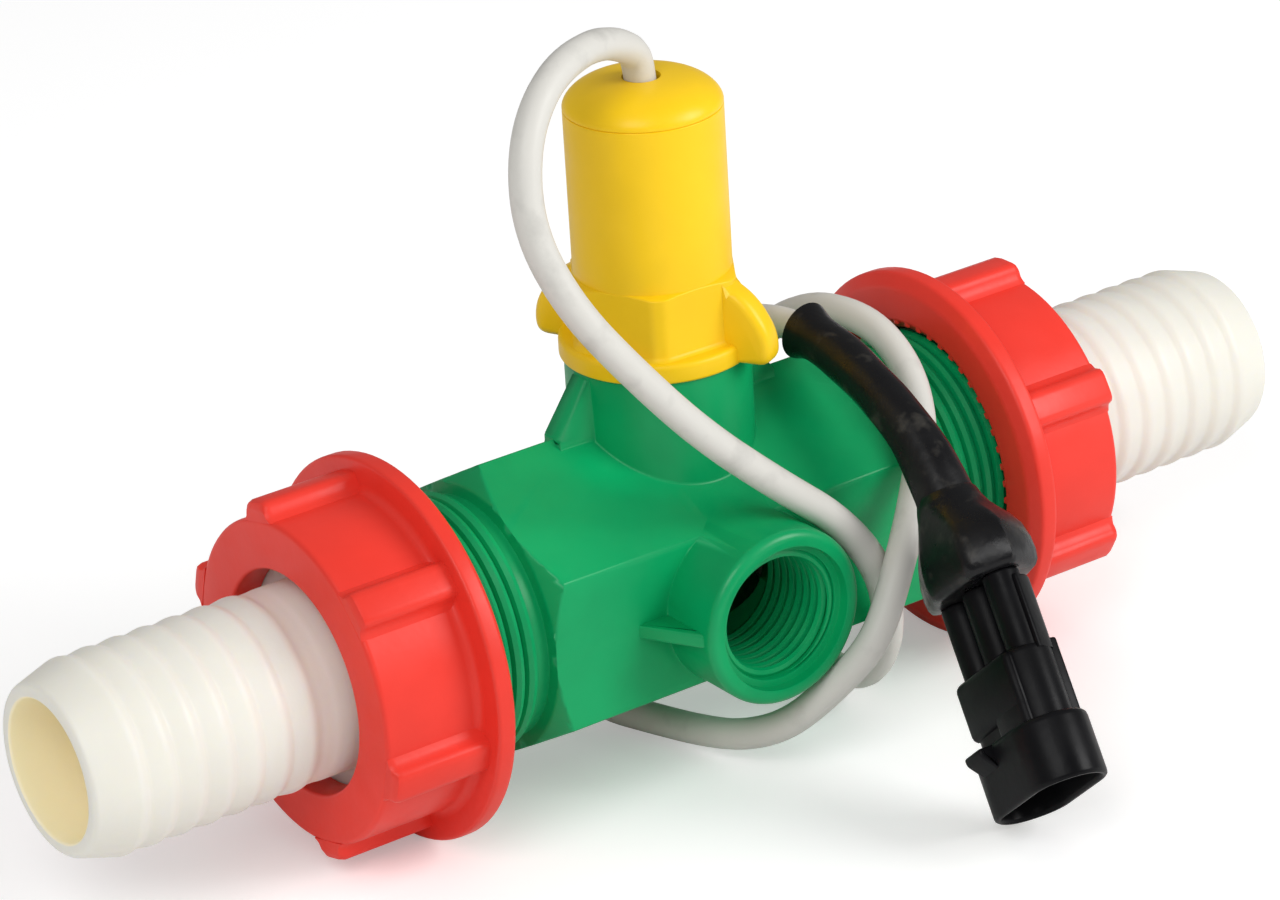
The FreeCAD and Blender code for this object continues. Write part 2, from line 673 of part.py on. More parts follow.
def add_finger_wings(body):
    """Two rounded ears that turn the sensor by hand."""
    wing = [(WING_ROOT, S.boss_top), (S.wing_reach, S.boss_top), (S.wing_reach, S.wing_shoulder),
            (WING_ROOT, SENSOR_HEX_TOP)]
    blank = pad(body, "WingBlank", outline(body, "WingOutline", "XZ_Plane", wing), S.wing_thickness, True)
    wings = mirrored(body, "Wings", [blank])

    def is_wing_corner(edge, height):
        place = edge.Vertexes[0]
        at_tip = abs(abs(place.X) - S.wing_reach.value) < 0.01
        return at_tip and is_line_along(edge, 1) and abs(place.Z - height.value) < 0.01
    shoulders = rounded(body, "WingShoulders", wings, S.wing_round,
                        lambda edge: is_wing_corner(edge, S.wing_shoulder))
    rounded(body, "WingFeet", shoulders, S.wing_foot_round, lambda edge: is_wing_corner(edge, S.boss_top))


def make_sensor_lid():
    body = new_body("sensor_lid")
    hole, skirt = S.cable_hole_radius, CAVITY_RADIUS - S.lid_fit
    skirt_end, edge_top = S.sensor_seam - S.lid_skirt, S.sensor_seam + S.lid_edge_height
    section = [(hole, skirt_end), (skirt, skirt_end), (skirt, S.sensor_seam),
               (S.sensor_radius, S.sensor_seam), (S.sensor_radius, edge_top), (hole, LID_TOP)]
    cap = turned(body, "Cap", outline(body, "CapSection", "XZ_Plane", section), axis="V_Axis")
    rounded(body, "CapEdge", cap, S.lid_round, lambda edge: is_ring(edge, 2, edge_top, S.sensor_radius))
    return body


def make_sensor_oring():
    ring = doc.addObject("Part::Torus", "sensor_oring")
    ring.Label = "sensor_oring"
    bind(ring, "Radius1", ORING_MIDDLE)
    bind(ring, "Radius2", S.oring_section_radius)
    bind(ring, "Placement.Base.z", AXIS_HEIGHT + ORING_HEIGHT)
    return ring


def make_block(label, width, thickness, height, front):
    """A block that stands on the floor of the sensor's cavity."""
    block = doc.addObject("Part::Box", label)
    block.Label = label
    bind(block, "Length", width)
    bind(block, "Width", thickness)
    bind(block, "Height", height)
    bind(block, "Placement.Base.x", -width / 2)
    bind(block, "Placement.Base.y", front)
    bind(block, "Placement.Base.z", AXIS_HEIGHT + CAVITY_FLOOR)
    return block


# Cable, sleeve, boot and connector

def route_edges(points):
    """Straight runs joined by tangent arcs, each arc as large as its two runs allow."""
    spots = [FreeCAD.Vector(*point) for point in points]
    edges, radii = [], []
    start = spots[0]
    for before, corner, after in zip(spots, spots[1:], spots[2:]):
        inward, outward = corner - before, after - corner
        cut = 0.45 * min(inward.Length, outward.Length)
        turn = inward.getAngle(outward)
        radius = cut / math.tan(turn / 2)
        inward.normalize()
        outward.normalize()
        arc_start, arc_end = corner - inward * cut, corner + outward * cut
        bisector = outward - inward
        bisector.normalize()
        middle = corner + bisector * (radius / math.cos(turn / 2) - radius)
        edges.append(Part.LineSegment(start, arc_start).toShape())
        edges.append(Part.Arc(arc_start, middle, arc_end).toShape())
        radii.append(round(radius, 1))
        start = arc_end
    edges.append(Part.LineSegment(start, spots[-1]).toShape())
    print("cable bend radii:", radii)
    return edges


def swept(edges, radius):
    """A round rod along joined edges, its volume compared with its section times its length."""
    path = Part.Wire(edges)
    start = path.Edges[0]
    normal = start.tangentAt(start.FirstParameter)
    ring = Part.Wire(Part.Circle(start.valueAt(start.FirstParameter), normal, radius).toShape())
    rod = path.makePipeShell([ring], True, True)
    expected = math.pi * radius ** 2 * path.Length
    print("swept length", round(path.Length, 1), "volume ratio", round(rod.Volume / expected, 4))
    return rod


def make_cable_and_sleeve():
    edges = route_edges(CABLE_ROUTE)
    cable = doc.addObject("Part::Feature", "cable")
    cable.Label = "cable"
    cable.Shape = swept(edges, S.cable_radius.value)
    sleeve_run = edges[2 * len(BARE_ROUTE):]
    outer = swept(sleeve_run, S.sleeve_radius.value)
    inner = swept(sleeve_run, (S.cable_radius + S.sleeve_clearance).value)
    sleeve = doc.addObject("Part::Feature", "cable_sleeve")
    sleeve.Label = "cable_sleeve"
    sleeve.Shape = outer.cut(inner)
    return [cable, sleeve]


def plug_placement(ahead):
    """The place on the connector's axis that lies a distance ahead of the cable's end."""
    turn = FreeCAD.Rotation(PLUG_WIDE_SIDE, FreeCAD.Vector(), PLUG_DIRECTION, "ZXY")
    end = FreeCAD.Vector(*CABLE_ROUTE[-1])
    return FreeCAD.Placement(end + turn.multVec(FreeCAD.Vector(0, 0, ahead)), turn)


def make_connector_boot():
    """A moulded bulb: lofted from the round sleeve to an oval that covers the connector's back."""
    wide, deep, neck = S.boot_half_width, S.boot_half_depth, S.sleeve_radius + 0.2
    stations = [(0, neck, neck), (0.2, 0.62 * wide, 0.7 * deep), (0.5, 0.92 * wide, 0.94 * deep),
                (0.8, wide, deep), (1, 0.95 * wide, 0.9 * deep)]
    sections = []
    for index, (share, half_width, half_depth) in enumerate(stations, start=1):
        section = doc.addObject("Part::Ellipse", f"BootSection{index}")
        bind(section, "MajorRadius", half_width + 0.001)
        bind(section, "MinorRadius", half_depth)
        bind(section, "Placement.Base.z", share * S.boot_length)
        sections.append(section)
    boot = doc.addObject("Part::Loft", "connector_boot")
    boot.Label = "connector_boot"
    boot.Sections = sections
    boot.Solid = True
    boot.Placement = plug_placement(0)
    # The boot takes up the bend between the cable's last run and the connector
    last_run = FreeCAD.Vector(*CABLE_ROUTE[-1]) - FreeCAD.Vector(*CABLE_ROUTE[-2])
    arriving = boot.Placement.Rotation.inverted().multVec(last_run)
    sections[0].Placement.Rotation = FreeCAD.Rotation(FreeCAD.Vector(0, 0, 1), arriving)
    return boot


def make_connector_housing():
    body = new_body("connector_housing", on_axis=False)
    cavity = circle(body, "CavityOutline", "XY_Plane", (-S.plug_cavity_pitch, 0), S.plug_cavity_radius)
    barrel = pad(body, "WireBarrel", cavity, S.plug_rear_length + 1)
    along_x(body, "WireBarrels", [barrel], 2 * S.plug_cavity_pitch, 3)
    block = outline(body, "BlockOutline", "XY_Plane", plug_corners(S.plug_block_inset),
                    lift=S.plug_rear_length)
    step = pad(body, "Block", block, S.plug_block_length + 1)
    rounded(body, "BlockCorners", step, S.plug_corner_round / 2,
            lambda edge: ends_at(edge, PLUG_BLOCK_END + 1))
    add_cheek_and_rail(body)
    add_shroud(body)
    add_latch(body)
    body.Placement = plug_placement(S.boot_length.value)
    return body


def plug_corners(inset):
    """The connector's section, a long hexagon with a corner at each end, drawn in by an inset."""
    wide, deep = S.plug_shroud_width / 2 - inset, S.plug_shroud_depth / 2 - inset
    flat = S.plug_shroud_flat / 2 - 0.4 * inset
    return [(wide, 0), (flat, deep), (-flat, deep), (-wide, 0), (-flat, -deep), (flat, -deep)]


def ends_at(edge, height):
    """True for a line along the connector's axis that ends at that height."""
    return is_line_along(edge, 2) and any(abs(end.Z - height.value) < 0.01 for end in edge.Vertexes)


def add_cheek_and_rail(body):
    """A wall that carries one slanted side of the block back beside the barrels, and a rail outside it."""
    (wide, middle), (flat, deep) = plug_corners(S.plug_block_inset)[0::5]
    wall, start = S.plug_cheek_wall, S.plug_cavity_pitch / 3
    cheek = [(wide, middle), (flat, deep), (start, deep), (start, deep + wall),
             (flat - wall / 2, deep + wall), (wide - wall, middle)]
    pad(body, "SideCheek", outline(body, "CheekOutline", "XY_Plane", cheek, lift=S.plug_rail_height),
        S.plug_rear_length)
    rail = rectangle(flat - S.plug_rail_width, deep - S.plug_rail_height, flat - 0.5, deep + 1)
    sketch = outline(body, "RailOutline", "XY_Plane", rail, lift=S.plug_rear_length - 1)
    pad(body, "SideRail", sketch, S.plug_block_length + 2)


def add_shroud(body):
    sketch = outline(body, "ShroudOutline", "XY_Plane", plug_corners(0), lift=PLUG_BLOCK_END)
    shroud = pad(body, "Shroud", sketch, S.plug_shroud_length)
    rounded(body, "ShroudCorners", shroud, S.plug_corner_round, lambda edge: ends_at(edge, PLUG_END))
    mouth = outline(body, "MouthOutline", "XY_Plane", plug_corners(S.plug_shroud_wall), lift=PLUG_FLOOR)
    hollow = body.newObject("PartDesign::Pocket", "Mouth")
    hollow.Profile = mouth
    hollow.Reversed = True
    bind(hollow, "Length", S.plug_mouth_depth + 1)
    rounded(body, "MouthCorners", hollow, S.plug_mouth_round, lambda edge: ends_at(edge, PLUG_FLOOR))


def add_latch(body):
    """The raised panel on the block's flat side, and the hook that a mating connector's latch drops over."""
    side = S.plug_shroud_depth / 2
    face, panel_end = side - S.plug_block_inset / 4, PLUG_BLOCK_END - S.plug_panel_gap
    panel = rectangle(side / 2, S.plug_rear_length, face, panel_end)
    pad(body, "LatchPanel", outline(body, "PanelOutline", "YZ_Plane", panel), S.plug_panel_width, True)
    foot, reach, sunk = PLUG_BLOCK_END, S.plug_latch_height, side - S.plug_shroud_wall / 2
    hook = [(sunk, foot), (side + reach, foot), (side + reach, foot + 1), (side, foot + 2 * reach),
            (sunk, foot + 2 * reach)]
    sketch = outline(body, "HookOutline", "YZ_Plane", hook, lift=-S.plug_latch_offset)
    pad(body, "LatchHook", sketch, S.plug_latch_width, True)


def make_connector_pins():
    pins = []
    for index in range(3):
        pin = doc.addObject("Part::Box", f"Pin{index + 1}")
        bind(pin, "Length", S.pin_width)
        bind(pin, "Width", S.pin_thickness)
        bind(pin, "Height", S.pin_length)
        bind(pin, "Placement.Base.x", (index - 1) * S.plug_cavity_pitch - S.pin_width / 2)
        bind(pin, "Placement.Base.y", -S.pin_thickness / 2)
        bind(pin, "Placement.Base.z", PLUG_FLOOR)
        pins.append(pin)
    contacts = group("connector_pins", pins)
    contacts.Placement = plug_placement(S.boot_length.value)
    return contacts


nodes = [
    make_meter_body(),
    make_ring_nut("inlet_ring_nut", S.inlet_nut_turn, True),
    make_ring_nut("outlet_ring_nut", S.outlet_nut_turn, False),
    make_hose_tail("inlet_hose_tail", True),
    make_hose_tail("outlet_hose_tail", False),
    make_gasket("inlet_gasket", -TAIL_FOOT),
    make_gasket("outlet_gasket", SPIGOT_END),
    make_straightener("inlet_flow_straightener", True),
    make_straightener("outlet_flow_straightener", False),
    make_bush("inlet_bush", True),
    make_bush("outlet_bush", False),
    make_turbine_rotor(),
    make_rotor_magnets(),
    make_rotor_axle(),
    make_sensor_housing(),
    make_sensor_lid(),
    make_sensor_oring(),
    make_block("circuit_board", S.board_width, S.board_thickness, S.board_height, 0),
    make_block("hall_element", S.hall_width, S.hall_thickness, S.hall_height, -S.hall_thickness),
    *make_cable_and_sleeve(),
    make_connector_boot(),
    make_connector_housing(),
    make_connector_pins(),
]

doc.recompute()
for item in doc.Objects:
    if "Invalid" in item.State or "Error" in item.State:
        raise RuntimeError(f"{item.Label} failed: {item.State}")
for node in nodes:
    if node.Shape.isNull() or not node.Shape.isValid():
        raise RuntimeError(f"{node.Label} has no valid shape")

os.makedirs("parts", exist_ok=True)
for node in nodes:
    node.Shape.exportStep(f"parts/{node.Label}.step")
    box = node.Shape.optimalBoundingBox(False)
    print(f"{node.Label}: {len(node.Shape.Solids)} solid, {node.Shape.Volume:.0f} mm3, "
          f"x {box.XMin:.2f} to {box.XMax:.2f}, y {box.YMin:.2f} to {box.YMax:.2f}, "
          f"z {box.ZMin:.2f} to {box.ZMax:.2f}")
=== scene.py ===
# %% [markdown]
# # A turbine flow meter, dressed for the camera
# The meter is a plastic pipe fitting with a small turbine inside. A sensor on top counts the turns and sends
# them down a cable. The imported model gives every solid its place, and this lesson puts the looks on it:
# moulded plastic with soft edges, threads, a wound cable and its rubber sleeve. The sizes of pieces are
# written in millimetres and multiplied by MM, because Blender works in metres. The pipe runs along X, AXIS_Z
# above the bench.

# %% Load the frame
import math

import bmesh
import bpy
from mathutils import Matrix, Vector


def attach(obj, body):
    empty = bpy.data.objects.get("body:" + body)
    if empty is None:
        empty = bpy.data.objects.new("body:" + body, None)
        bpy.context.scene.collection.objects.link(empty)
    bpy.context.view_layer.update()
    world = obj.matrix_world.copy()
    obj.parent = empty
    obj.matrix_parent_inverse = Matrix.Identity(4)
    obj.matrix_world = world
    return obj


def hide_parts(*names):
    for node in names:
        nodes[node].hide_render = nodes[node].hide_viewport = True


MM = 0.001
AXIS_Z = 30.7
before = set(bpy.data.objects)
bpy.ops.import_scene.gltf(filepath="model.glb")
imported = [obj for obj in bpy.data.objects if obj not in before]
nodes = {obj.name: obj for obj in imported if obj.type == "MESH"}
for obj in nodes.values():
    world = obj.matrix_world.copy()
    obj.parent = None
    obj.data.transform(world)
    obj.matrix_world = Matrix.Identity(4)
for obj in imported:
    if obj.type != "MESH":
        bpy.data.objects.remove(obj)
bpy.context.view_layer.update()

# %% [markdown]
# ## Camera
# The photograph was taken with a long lens from the front left and a little above. Its position was worked
# out from straight edges and circles in the picture, as an azimuth, an elevation, a roll and a distance from
# the middle of the pipe. The camera could be aimed with three angles, but writing its three axes into its
# matrix avoids any question of their order.

# %% Camera
AZIMUTH, ELEVATION, ROLL = (math.radians(angle) for angle in (-34.299, 24.534, -3.52))
DISTANCE, SHIFT_RIGHT, SHIFT_UP = 870.997, -4.554, 15.035
FOCAL_PIXELS, IMAGE_WIDTH = 5563.16, 1280
SENSOR_WIDTH, SIGHT_METRES = 36, 20


def add_to_scene(name, data):
    made = bpy.data.objects.new(name, data)
    bpy.context.scene.collection.objects.link(made)
    return made


backward = Vector((math.sin(AZIMUTH) * math.cos(ELEVATION), -math.cos(AZIMUTH) * math.cos(ELEVATION),
                   math.sin(ELEVATION)))
level_right = Vector((math.cos(AZIMUTH), math.sin(AZIMUTH), 0))
level_up = backward.cross(level_right)
right = level_right * math.cos(ROLL) + level_up * math.sin(ROLL)
up = level_up * math.cos(ROLL) - level_right * math.sin(ROLL)
eye = backward * DISTANCE + right * SHIFT_RIGHT + up * SHIFT_UP + Vector((0, 0, AXIS_Z))

camera_data = bpy.data.cameras.new("photo_camera")
camera_data.sensor_width = SENSOR_WIDTH
camera_data.sensor_fit = "HORIZONTAL"
camera_data.lens = FOCAL_PIXELS * SENSOR_WIDTH / IMAGE_WIDTH
camera_data.clip_end = SIGHT_METRES
camera = add_to_scene("photo_camera", camera_data)
turn = Matrix((right, up, backward)).transposed()
camera.matrix_world = Matrix.Translation(eye * MM) @ turn.to_4x4()
bpy.context.scene.camera = camera
print("camera lens", round(camera_data.lens, 1), "mm at", [round(value, 1) for value in eye])

# %% [markdown]
# ## Studio floor
# The photograph has a white background with a faint shadow under the object. A large pale floor carries that
# shadow, and it glows a little for the camera alone, so that it stays as white as the background. A white
# world without a floor would be simpler, but then the object would float without a shadow.

# %% Floor
FLOOR_REACH, FLOOR_GREY, FLOOR_GLOW = 3000, 0.9, 0.3


def start_material(name, colour, roughness, shine=0.3):
    material = bpy.data.materials.new(name)
    material.use_nodes = True
    shader = material.node_tree.nodes["Principled BSDF"]
    shader.inputs["Base Color"].default_value = (*colour, 1)
    shader.inputs["Roughness"].default_value = roughness
    shader.inputs["Specular IOR Level"].default_value = shine
    return material, material.node_tree, shader


def make_object(name, shape, material, placement=None, sharp=40):
    """Turn a bmesh in millimetres into a placed object in metres, smooth except at sharp edges."""
    mesh = bpy.data.meshes.new(name)
    shape.to_mesh(mesh)
    shape.free()
    mesh.transform(Matrix.Scale(MM, 4) @ (placement or Matrix.Identity(4)))
    mesh.shade_smooth()
    mesh.set_sharp_from_angle(angle=math.radians(sharp))
    mesh.materials.append(material)
    return add_to_scene(name, mesh)


floor_shape = bmesh.new()
bmesh.ops.create_grid(floor_shape, x_segments=1, y_segments=1, size=FLOOR_REACH)
floor_material, floor_tree, floor_shader = start_material("pale_floor", [FLOOR_GREY] * 3, 0.9, shine=0)
floor_path = floor_tree.nodes.new("ShaderNodeLightPath")
floor_shader.inputs["Emission Color"].default_value = (*[FLOOR_GLOW] * 3, 1)
floor_tree.links.new(floor_path.outputs["Is Camera Ray"], floor_shader.inputs["Emission Strength"])
floor = make_object("floor", floor_shape, floor_material)
print("floor", [round(side, 1) for side in floor.dimensions[:2]], "m")

# %% [markdown]
# ## Studio light
# Most of the light comes from the world, as from a white tent. In reflections the world is dimmer, as a real
# studio is, so the colours stay deep. Two broad lamps, one at the front right and a higher one at the front
# left, give the shapes their highlights. Small lamps would give hard dots instead. Lamps are in metres and
# watts.

# %% Lamps and world
WORLD_LIGHT, WORLD_IN_REFLECTIONS = 0.48, 0.18
LAMP_TARGET, LAMP_SIZE = Vector((0, 0, 0.03)), 0.7


def spread(tree, value, low, high, start=0.3, end=0.7):
    """Map a value between start and end onto low and high. Most noise lies between 0.3 and 0.7."""
    ranged = tree.nodes.new("ShaderNodeMapRange")
    for socket, number in zip(("From Min", "From Max", "To Min", "To Max"), (start, end, low, high)):
        ranged.inputs[socket].default_value = number
    tree.links.new(value, ranged.inputs["Value"])
    return ranged.outputs["Result"]


def soft_lamp(name, place, watts):
    data = bpy.data.lights.new(name, "AREA")
    data.shape = "DISK"
    data.size = LAMP_SIZE
    data.energy = watts
    lamp = add_to_scene(name, data)
    lamp.location = Vector(place)
    lamp.rotation_euler = (LAMP_TARGET - lamp.location).to_track_quat("-Z", "Y").to_euler()
    print(name, watts, "W at", place)


soft_lamp("key_lamp", (0.7, -0.85, 0.65), 9)
soft_lamp("left_lamp", (-0.75, -0.6, 0.9), 5)
world = bpy.data.worlds.new("studio")
bpy.context.scene.world = world
world.use_nodes = True
sky = world.node_tree
sky.nodes["Background"].inputs["Color"].default_value = (1, 1, 1, 1)
world_path = sky.nodes.new("ShaderNodeLightPath")
brightness = spread(sky, world_path.outputs["Is Glossy Ray"], WORLD_LIGHT, WORLD_IN_REFLECTIONS, 0, 1)
sky.links.new(brightness, sky.nodes["Background"].inputs["Strength"])
bpy.context.scene.view_settings.view_transform = "Standard"

# %% [markdown]
# ## Cable jacket
# The cable is off-white vinyl with faint grey rub marks. A flat colour would look like chalk, and a painted
# picture would need the cable unwrapped. Noise textures need neither: one blends two colours, one varies the
# gloss and one gives a very fine bump. The helpers for that serve every other finish too.

# %% Cable jacket


def noise(tree, scale, detail=3, stretch=(1, 1, 1)):
    """A noise texture on the piece's own coordinates, with about scale features to the metre."""
    place = tree.nodes.new("ShaderNodeTexCoord")
    mapping = tree.nodes.new("ShaderNodeMapping")
    mapping.inputs["Scale"].default_value = stretch
    texture = tree.nodes.new("ShaderNodeTexNoise")
    texture.inputs["Scale"].default_value = scale
    texture.inputs["Detail"].default_value = detail
    tree.links.new(place.outputs["Object"], mapping.inputs["Vector"])
    tree.links.new(mapping.outputs["Vector"], texture.inputs["Vector"])
    return texture.outputs["Fac"]


def blend_colours(tree, factor, first, second):
    mix = tree.nodes.new("ShaderNodeMix")
    mix.data_type = "RGBA"
    mix.inputs["A"].default_value = (*first, 1)
    mix.inputs["B"].default_value = (*second, 1)
    tree.links.new(factor, mix.inputs["Factor"])
    return mix.outputs["Result"]


def add_bump(tree, shader, heights, depth):
    """Let a noise value raise the surface, by up to a depth in millimetres."""
    bump = tree.nodes.new("ShaderNodeBump")
    bump.inputs["Strength"].default_value = 1
    bump.inputs["Distance"].default_value = depth * MM
    tree.links.new(heights, bump.inputs["Height"])
    tree.links.new(bump.outputs["Normal"], shader.inputs["Normal"])


def cable_jacket(clean, rubbed):
    material, tree, shader = start_material("cable_jacket", clean, 0.42)
    rubs = spread(tree, noise(tree, scale=160, detail=6), 0, 0.6, start=0.55, end=0.78)
    tree.links.new(blend_colours(tree, rubs, clean, rubbed), shader.inputs["Base Color"])
    tree.links.new(spread(tree, noise(tree, scale=300), 0.34, 0.52), shader.inputs["Roughness"])
    add_bump(tree, shader, noise(tree, scale=600), depth=0.01)
    return material


JACKET = cable_jacket(clean=(0.66, 0.645, 0.60), rubbed=(0.43, 0.42, 0.39))
print(JACKET.name, "has", len(JACKET.node_tree.nodes), "shader nodes")

# %% [markdown]
# ## Moulded plastic
# Nearly every piece is injection-moulded plastic. Such a surface is never one flat colour: it has a fine
# grain from the mould, faint cloudy streaks where the melt flowed, and patches that are a little glossier
# than others. Each colour could have a node tree of its own, but one function builds the finish from a few
# numbers, so the pieces differ only in their values.

# %% Moulded plastic


def moulded(name, colour, roughness, clouds=0.12, grain=900, gloss_patches=0.08, shine=0.3):
    material, tree, shader = start_material(name, colour, roughness, shine)
    dark = tuple(channel * (1 - clouds) for channel in colour)
    light = tuple(min(1, channel * (1 + clouds) + 0.01 * clouds) for channel in colour)
    cloudy = spread(tree, noise(tree, scale=55, detail=4), 0, 1)
    tree.links.new(blend_colours(tree, cloudy, dark, light), shader.inputs["Base Color"])
    patches = spread(tree, noise(tree, scale=140, detail=5), roughness - gloss_patches,
                     roughness + gloss_patches)
    tree.links.new(patches, shader.inputs["Roughness"])
    add_bump(tree, shader, noise(tree, grain, detail=2), depth=0.02)
    return material


GREEN = moulded("moulded_green", (0.0, 0.34, 0.11), 0.36)
RED = moulded("moulded_red", (0.83, 0.042, 0.026), 0.38, clouds=0.06)
IVORY = moulded("moulded_ivory", (0.78, 0.765, 0.70), 0.42, clouds=0.03)
YELLOW = moulded("moulded_yellow", (0.93, 0.59, 0.006), 0.38, clouds=0.05)
BLACK = moulded("moulded_black", (0.004, 0.004, 0.005), 0.38, clouds=0.3, shine=0.13)
INSERT = moulded("insert_white", (0.62, 0.61, 0.57), 0.5, clouds=0.04)
ROTOR = moulded("rotor_grey", (0.10, 0.10, 0.11), 0.45, clouds=0.15)
FERRITE = moulded("magnet_ferrite", (0.05, 0.05, 0.055), 0.6, clouds=0.3)
BOARD = moulded("circuit_board_green", (0.01, 0.14, 0.05), 0.4, clouds=0.2, grain=2500)
print("materials in the file so far:", len(bpy.data.materials))

# %% [markdown]
# ## Light in the hose tails
# The ivory tails are thin enough to let light through, and their bore glows warm in the photograph. Real
# light paths through the wall would take very many samples. Subsurface scattering softens the outside
# instead, and a warm tint with a faint glow, kept to the inside of the bore, stands for the rest.

# %% Light in the hose tails
GLOW_EDGE = 0.1


def near_axis(tree, radius):
    """One inside a radius round the pipe's axis, nothing outside it."""
    place = tree.nodes.new("ShaderNodeTexCoord")
    across = tree.nodes.new("ShaderNodeVectorMath")
    across.operation = "MULTIPLY_ADD"
    across.inputs[1].default_value = (0, 1, 1)
    across.inputs[2].default_value = (0, 0, -AXIS_Z * MM)
    distance = tree.nodes.new("ShaderNodeVectorMath")
    distance.operation = "LENGTH"
    tree.links.new(place.outputs["Object"], across.inputs[0])
    tree.links.new(across.outputs["Vector"], distance.inputs[0])
    start, end = (radius - GLOW_EDGE) * MM, (radius + GLOW_EDGE) * MM
    return spread(tree, distance.outputs["Value"], 1, 0, start, end)


def let_light_through(material, bore_radius, warm, glow):
    tree = material.node_tree
    shader = tree.nodes["Principled BSDF"]
    for socket, value in (("Subsurface Weight", 0.4), ("Subsurface Radius", (1.0, 0.85, 0.5)),
                          ("Subsurface Scale", 6 * MM), ("Emission Color", (*warm, 1))):
        shader.inputs[socket].default_value = value
    inside = near_axis(tree, bore_radius)
    mix = tree.nodes.new("ShaderNodeMix")
    mix.data_type = "RGBA"
    mix.inputs["B"].default_value = (*warm, 1)
    tree.links.new(shader.inputs["Base Color"].links[0].from_socket, mix.inputs["A"])
    tree.links.new(inside, mix.inputs["Factor"])
    tree.links.new(mix.outputs["Result"], shader.inputs["Base Color"])
    tree.links.new(spread(tree, inside, 0, glow, 0, 1), shader.inputs["Emission Strength"])


let_light_through(IVORY, bore_radius=11.5, warm=(0.90, 0.80, 0.55), glow=0.07)
print(IVORY.name, "has", len(IVORY.node_tree.nodes), "shader nodes")

# %% [markdown]
# ## Rubber and metal
# The sleeve and boot are black rubber that has picked up pale scuffs and dust. The axle and bushes are bare
# metal, which shows tool marks along one axis. Both could start from the plastic above, but rubber needs dust
# in place of clouds, and metal needs stretched noise, so each has a short function of its own.

# %% Rubber and metal
DUST = (0.13, 0.12, 0.10)


def dusty_rubber(name, colour, roughness):
    material, tree, shader = start_material(name, colour, roughness)
    dust = spread(tree, noise(tree, scale=300, detail=8), 0, 0.35, start=0.58, end=0.85)
    tree.links.new(blend_colours(tree, dust, colour, DUST), shader.inputs["Base Color"])
    wear = spread(tree, noise(tree, scale=200, detail=4), roughness - 0.12, roughness + 0.15)
    tree.links.new(wear, shader.inputs["Roughness"])
    add_bump(tree, shader, noise(tree, scale=500, detail=4), depth=0.08)
    return material


def metal(name, colour, roughness, stretch):
    """Bare metal with fine tool marks, drawn out along the axes where the stretch is small."""
    material, tree, shader = start_material(name, colour, roughness)
    shader.inputs["Metallic"].default_value = 1
    marks = noise(tree, 900, stretch=stretch)
    tree.links.new(spread(tree, marks, roughness - 0.1, roughness + 0.12), shader.inputs["Roughness"])
    dark = tuple(channel * 0.85 for channel in colour)
    tree.links.new(blend_colours(tree, spread(tree, marks, 0, 1), dark, colour), shader.inputs["Base Color"])
    add_bump(tree, shader, marks, depth=0.01)
    return material


RUBBER = dusty_rubber("dusty_rubber", (0.006, 0.006, 0.007), 0.32)
STEEL = metal("ground_steel", (0.58, 0.58, 0.60), 0.3, stretch=(0.05, 1, 1))
BRASS = metal("turned_brass", (0.72, 0.52, 0.24), 0.35, stretch=(1, 0.1, 0.1))
print("materials in the file:", len(bpy.data.materials))

# %% [markdown]
# ## Cable
# The cable leaves the sensor's lid, makes a tight loop in the air, runs down across the front and is wound
# twice round the body. A row of cylinders would show its joints, so it is one NURBS curve with a round bevel.
# The control points are the route that the solid follows, with most of the first dozen moved by up to 4 mm
# and seven more, at the port and under the body, by up to 8 mm, to where the photograph shows the cable. The
# order is set after the points are added: set before, it would fall back to straight runs.

# %% Cable
CABLE_RADIUS = 2.5
CABLE_ROUTE = [
    (0, 0, 100), (0, 0, 110.2), (-2.4, -1.2, 115.2), (-12.6, -5.8, 119.6), (-24.6, -11.4, 118.6),
    (-32.2, -15.4, 111.2), (-34.2, -18.4, 99.2), (-30.2, -22.2, 87), (-21.9, -25.5, 75),
    (-11.4, -27.2, 62.4), (1.2, -27.9, 50.7), (13.6, -27.8, 40.2), (21.5, -27, 28.2), (24, -24.5, 15.2),
    (24.5, -17.5, 6), (26, -6, 2.9), (27, 10, 3.2), (29, 25, 14), (31.5, 30, 31), (34.5, 25, 47),
    (38, 13, 57), (39.5, -2, 58.5), (38.5, -13.3, 54), (34.2, -22, 47.1), (27.1, -27.9, 39),
    (19.1, -33.2, 30.9), (13.2, -35.3, 22.6), (7.6, -32, 15.8), (2.2, -27, 9), (-1.2, -19.4, 5.2),
    (-3.4, -11, 3.6), (-5.8, -2.5, 3.1), (-9.6, 8.6, 3.1), (-12, 21, 8), (-4.5, 30.2, 20), (6, 31, 35),
    (14.5, 25, 49), (21.5, 13.5, 58.5), (25, 1, 61.8), (25.6, -10.5, 60.6), (25.3, -22.8, 56.8),
    (25.2, -34, 51), (24.3, -40.6, 44),
]


def route_curve(name, radius):
    curve = bpy.data.curves.new(name, "CURVE")
    curve.dimensions = "3D"
    curve.resolution_u = 8
    spline = curve.splines.new("NURBS")
    spline.points.add(len(CABLE_ROUTE) - 1)
    for point, place in zip(spline.points, CABLE_ROUTE):
        point.co = (*(Vector(place) * MM), 1)
    spline.order_u = 3
    spline.use_endpoint_u = True
    curve.bevel_depth = radius * MM
    curve.bevel_resolution = 6
    curve.use_fill_caps = radius > 0
    return add_to_scene(name, curve)


cable = route_curve("signal_cable", CABLE_RADIUS)
cable.data.materials.append(JACKET)
print("cable route:", len(CABLE_ROUTE), "points")

